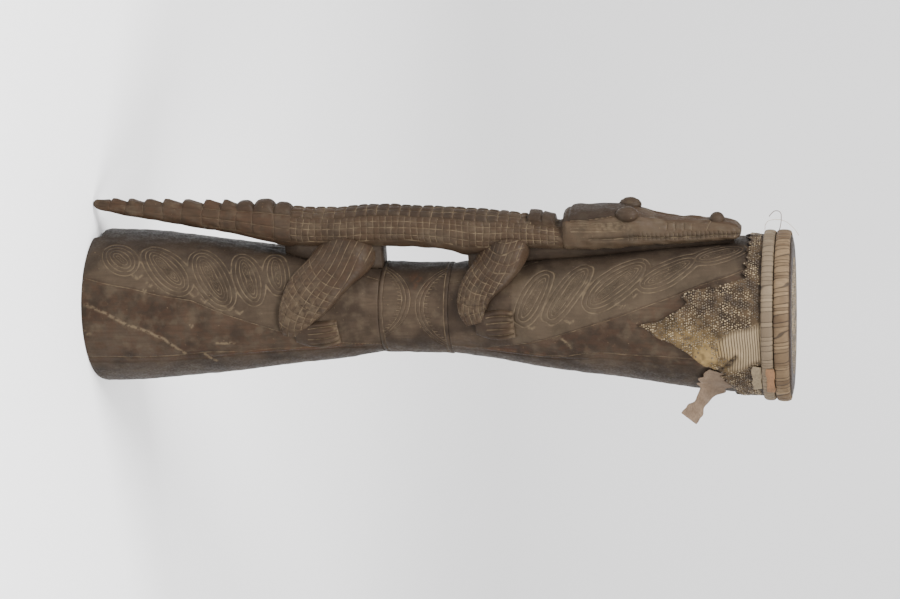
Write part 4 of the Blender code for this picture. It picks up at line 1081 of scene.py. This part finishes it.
# low and high edge, number of turns of the strip and how far each turn slants
woundHoop("lowerHoop", 0.6284, 0.6392, hoops["lowStrips"], 0.10, lowerBinding, "lower_rim_ring")
woundHoop("upperHoop", 0.6397, 0.6531, hoops["highStrips"], 0.30, upperBinding, "upper_rim_ring")
tabRows = tuple((0.6240 + 0.0004 * math.sin(a), a, 0.0030, 0.0042, a) for a in range(108, 135, 4))
pieceFrom(alongLog(tabRows, 70, 24, 5, 0.0013, 0.06), "stripTab", paleStrip, "wrap_tab")
overRows = tuple((0.6362 - 0.0002 * math.cos(a), a, 0.0057, 0.0036, a) for a in range(108, 133, 4))
pieceFrom(alongLog(overRows, 60, 20, 5, 0.0006, 0.05), "orangeTab", orangeStrip,
          "lower_rim_ring")
bpy.data.objects["wire_hook"].material_slots[0].material = wireRust
bpy.data.objects["loose_strand"].material_slots[0].material = fibre
print("hoops done")

# Camera: a long lens turned on its side, low and a little round from the front
view = {"distance": 2.3, "height": 0.75, "azimuth": 20.0, "pitch": 10.2, "lens": 100.0, "shift": 0.0043}
azimuth, pitch = math.radians(view["azimuth"]), math.radians(view["pitch"])
ahead = Vector((math.sin(azimuth), math.cos(azimuth), 0))
aside = Vector((math.cos(azimuth), -math.sin(azimuth), 0))
cameraData = bpy.data.cameras.new("camera")
cameraData.lens = view["lens"]
cameraData.sensor_width = 36
camera = addObject("camera", cameraData)
camera.location = (axisX - math.sin(azimuth) * view["distance"] - math.cos(azimuth) * view["shift"],
                   -math.cos(azimuth) * view["distance"] + math.sin(azimuth) * view["shift"], view["height"])
forward = ahead * math.cos(pitch) - Vector((0, 0, math.sin(pitch)))
upward = ahead * math.sin(pitch) + Vector((0, 0, math.cos(pitch)))
camera.rotation_mode = "QUATERNION"
camera.rotation_quaternion = Matrix((upward, -aside, -forward)).transposed().to_quaternion()
bpy.context.scene.camera = camera

# Stage: a pale floor that sweeps up behind the drum, and two soft lights from above in front
studio = {"back": 2.4, "bend": 1.1, "height": 5.0, "halfWidth": 5.0, "front": 4.0, "room": 1.08,
          "left": 135, "right": 90, "lightAway": 1.3, "lightHigh": 2.0, "lightSize": (1.2, 0.9), "lightAim": 0.25,
          "floorDark": (0.90, 0.90, 0.91), "floorLight": (0.93, 0.93, 0.94)}
floorMat, tree, shader = newMaterial("paleStage", 0.9)
tree.links.new(mixColor(tree, soften(tree, noise(tree, placeOf(tree), 0.9, 2.0), 0.3, 0.7),
                        studio["floorDark"], studio["floorLight"]), shader.inputs["Base Color"])
bm = bmesh.new()
line = [(-studio["front"], 0.0), (studio["back"], 0.0)]
line += [(studio["back"] + studio["bend"] * math.sin(math.radians(a)),
          studio["bend"] * (1 - math.cos(math.radians(a)))) for a in range(6, 91, 6)]
line.append((studio["back"] + studio["bend"], studio["height"]))
verts = [bm.verts.new(ahead * d - aside * studio["halfWidth"] + Vector((0, 0, z))) for d, z in line]
edges = [bm.edges.new(pair) for pair in zip(verts, verts[1:])]
wide = bmesh.ops.extrude_edge_only(bm, edges=edges)
bmesh.ops.translate(bm, verts=[g for g in wide["geom"] if isinstance(g, bmesh.types.BMVert)],
                    vec=aside * studio["halfWidth"] * 2)
bmesh.ops.recalc_face_normals(bm, faces=bm.faces)
objectFrom(bm, "stageFloor", floorMat)


def softbox(name, side, power):
    data = bpy.data.lights.new(name, "AREA")
    data.shape = "RECTANGLE"
    data.size, data.size_y = studio["lightSize"]
    data.energy = power
    obj = addObject(name, data)
    place = -ahead * studio["lightAway"] + aside * studio["lightAway"] * side + Vector((0, 0, studio["lightHigh"]))
    obj.location = place
    obj.rotation_euler = (Vector((0, 0, studio["lightAim"])) - place).to_track_quat("-Z", "Y").to_euler()


softbox("keyLeft", -1, studio["left"])
softbox("keyRight", 1, studio["right"])
world = bpy.data.worlds.new("room")
world.use_nodes = True
world.node_tree.nodes["Background"].inputs["Color"].default_value = (1.0, 0.99, 0.975, 1)
world.node_tree.nodes["Background"].inputs["Strength"].default_value = studio["room"]
bpy.context.scene.world = world
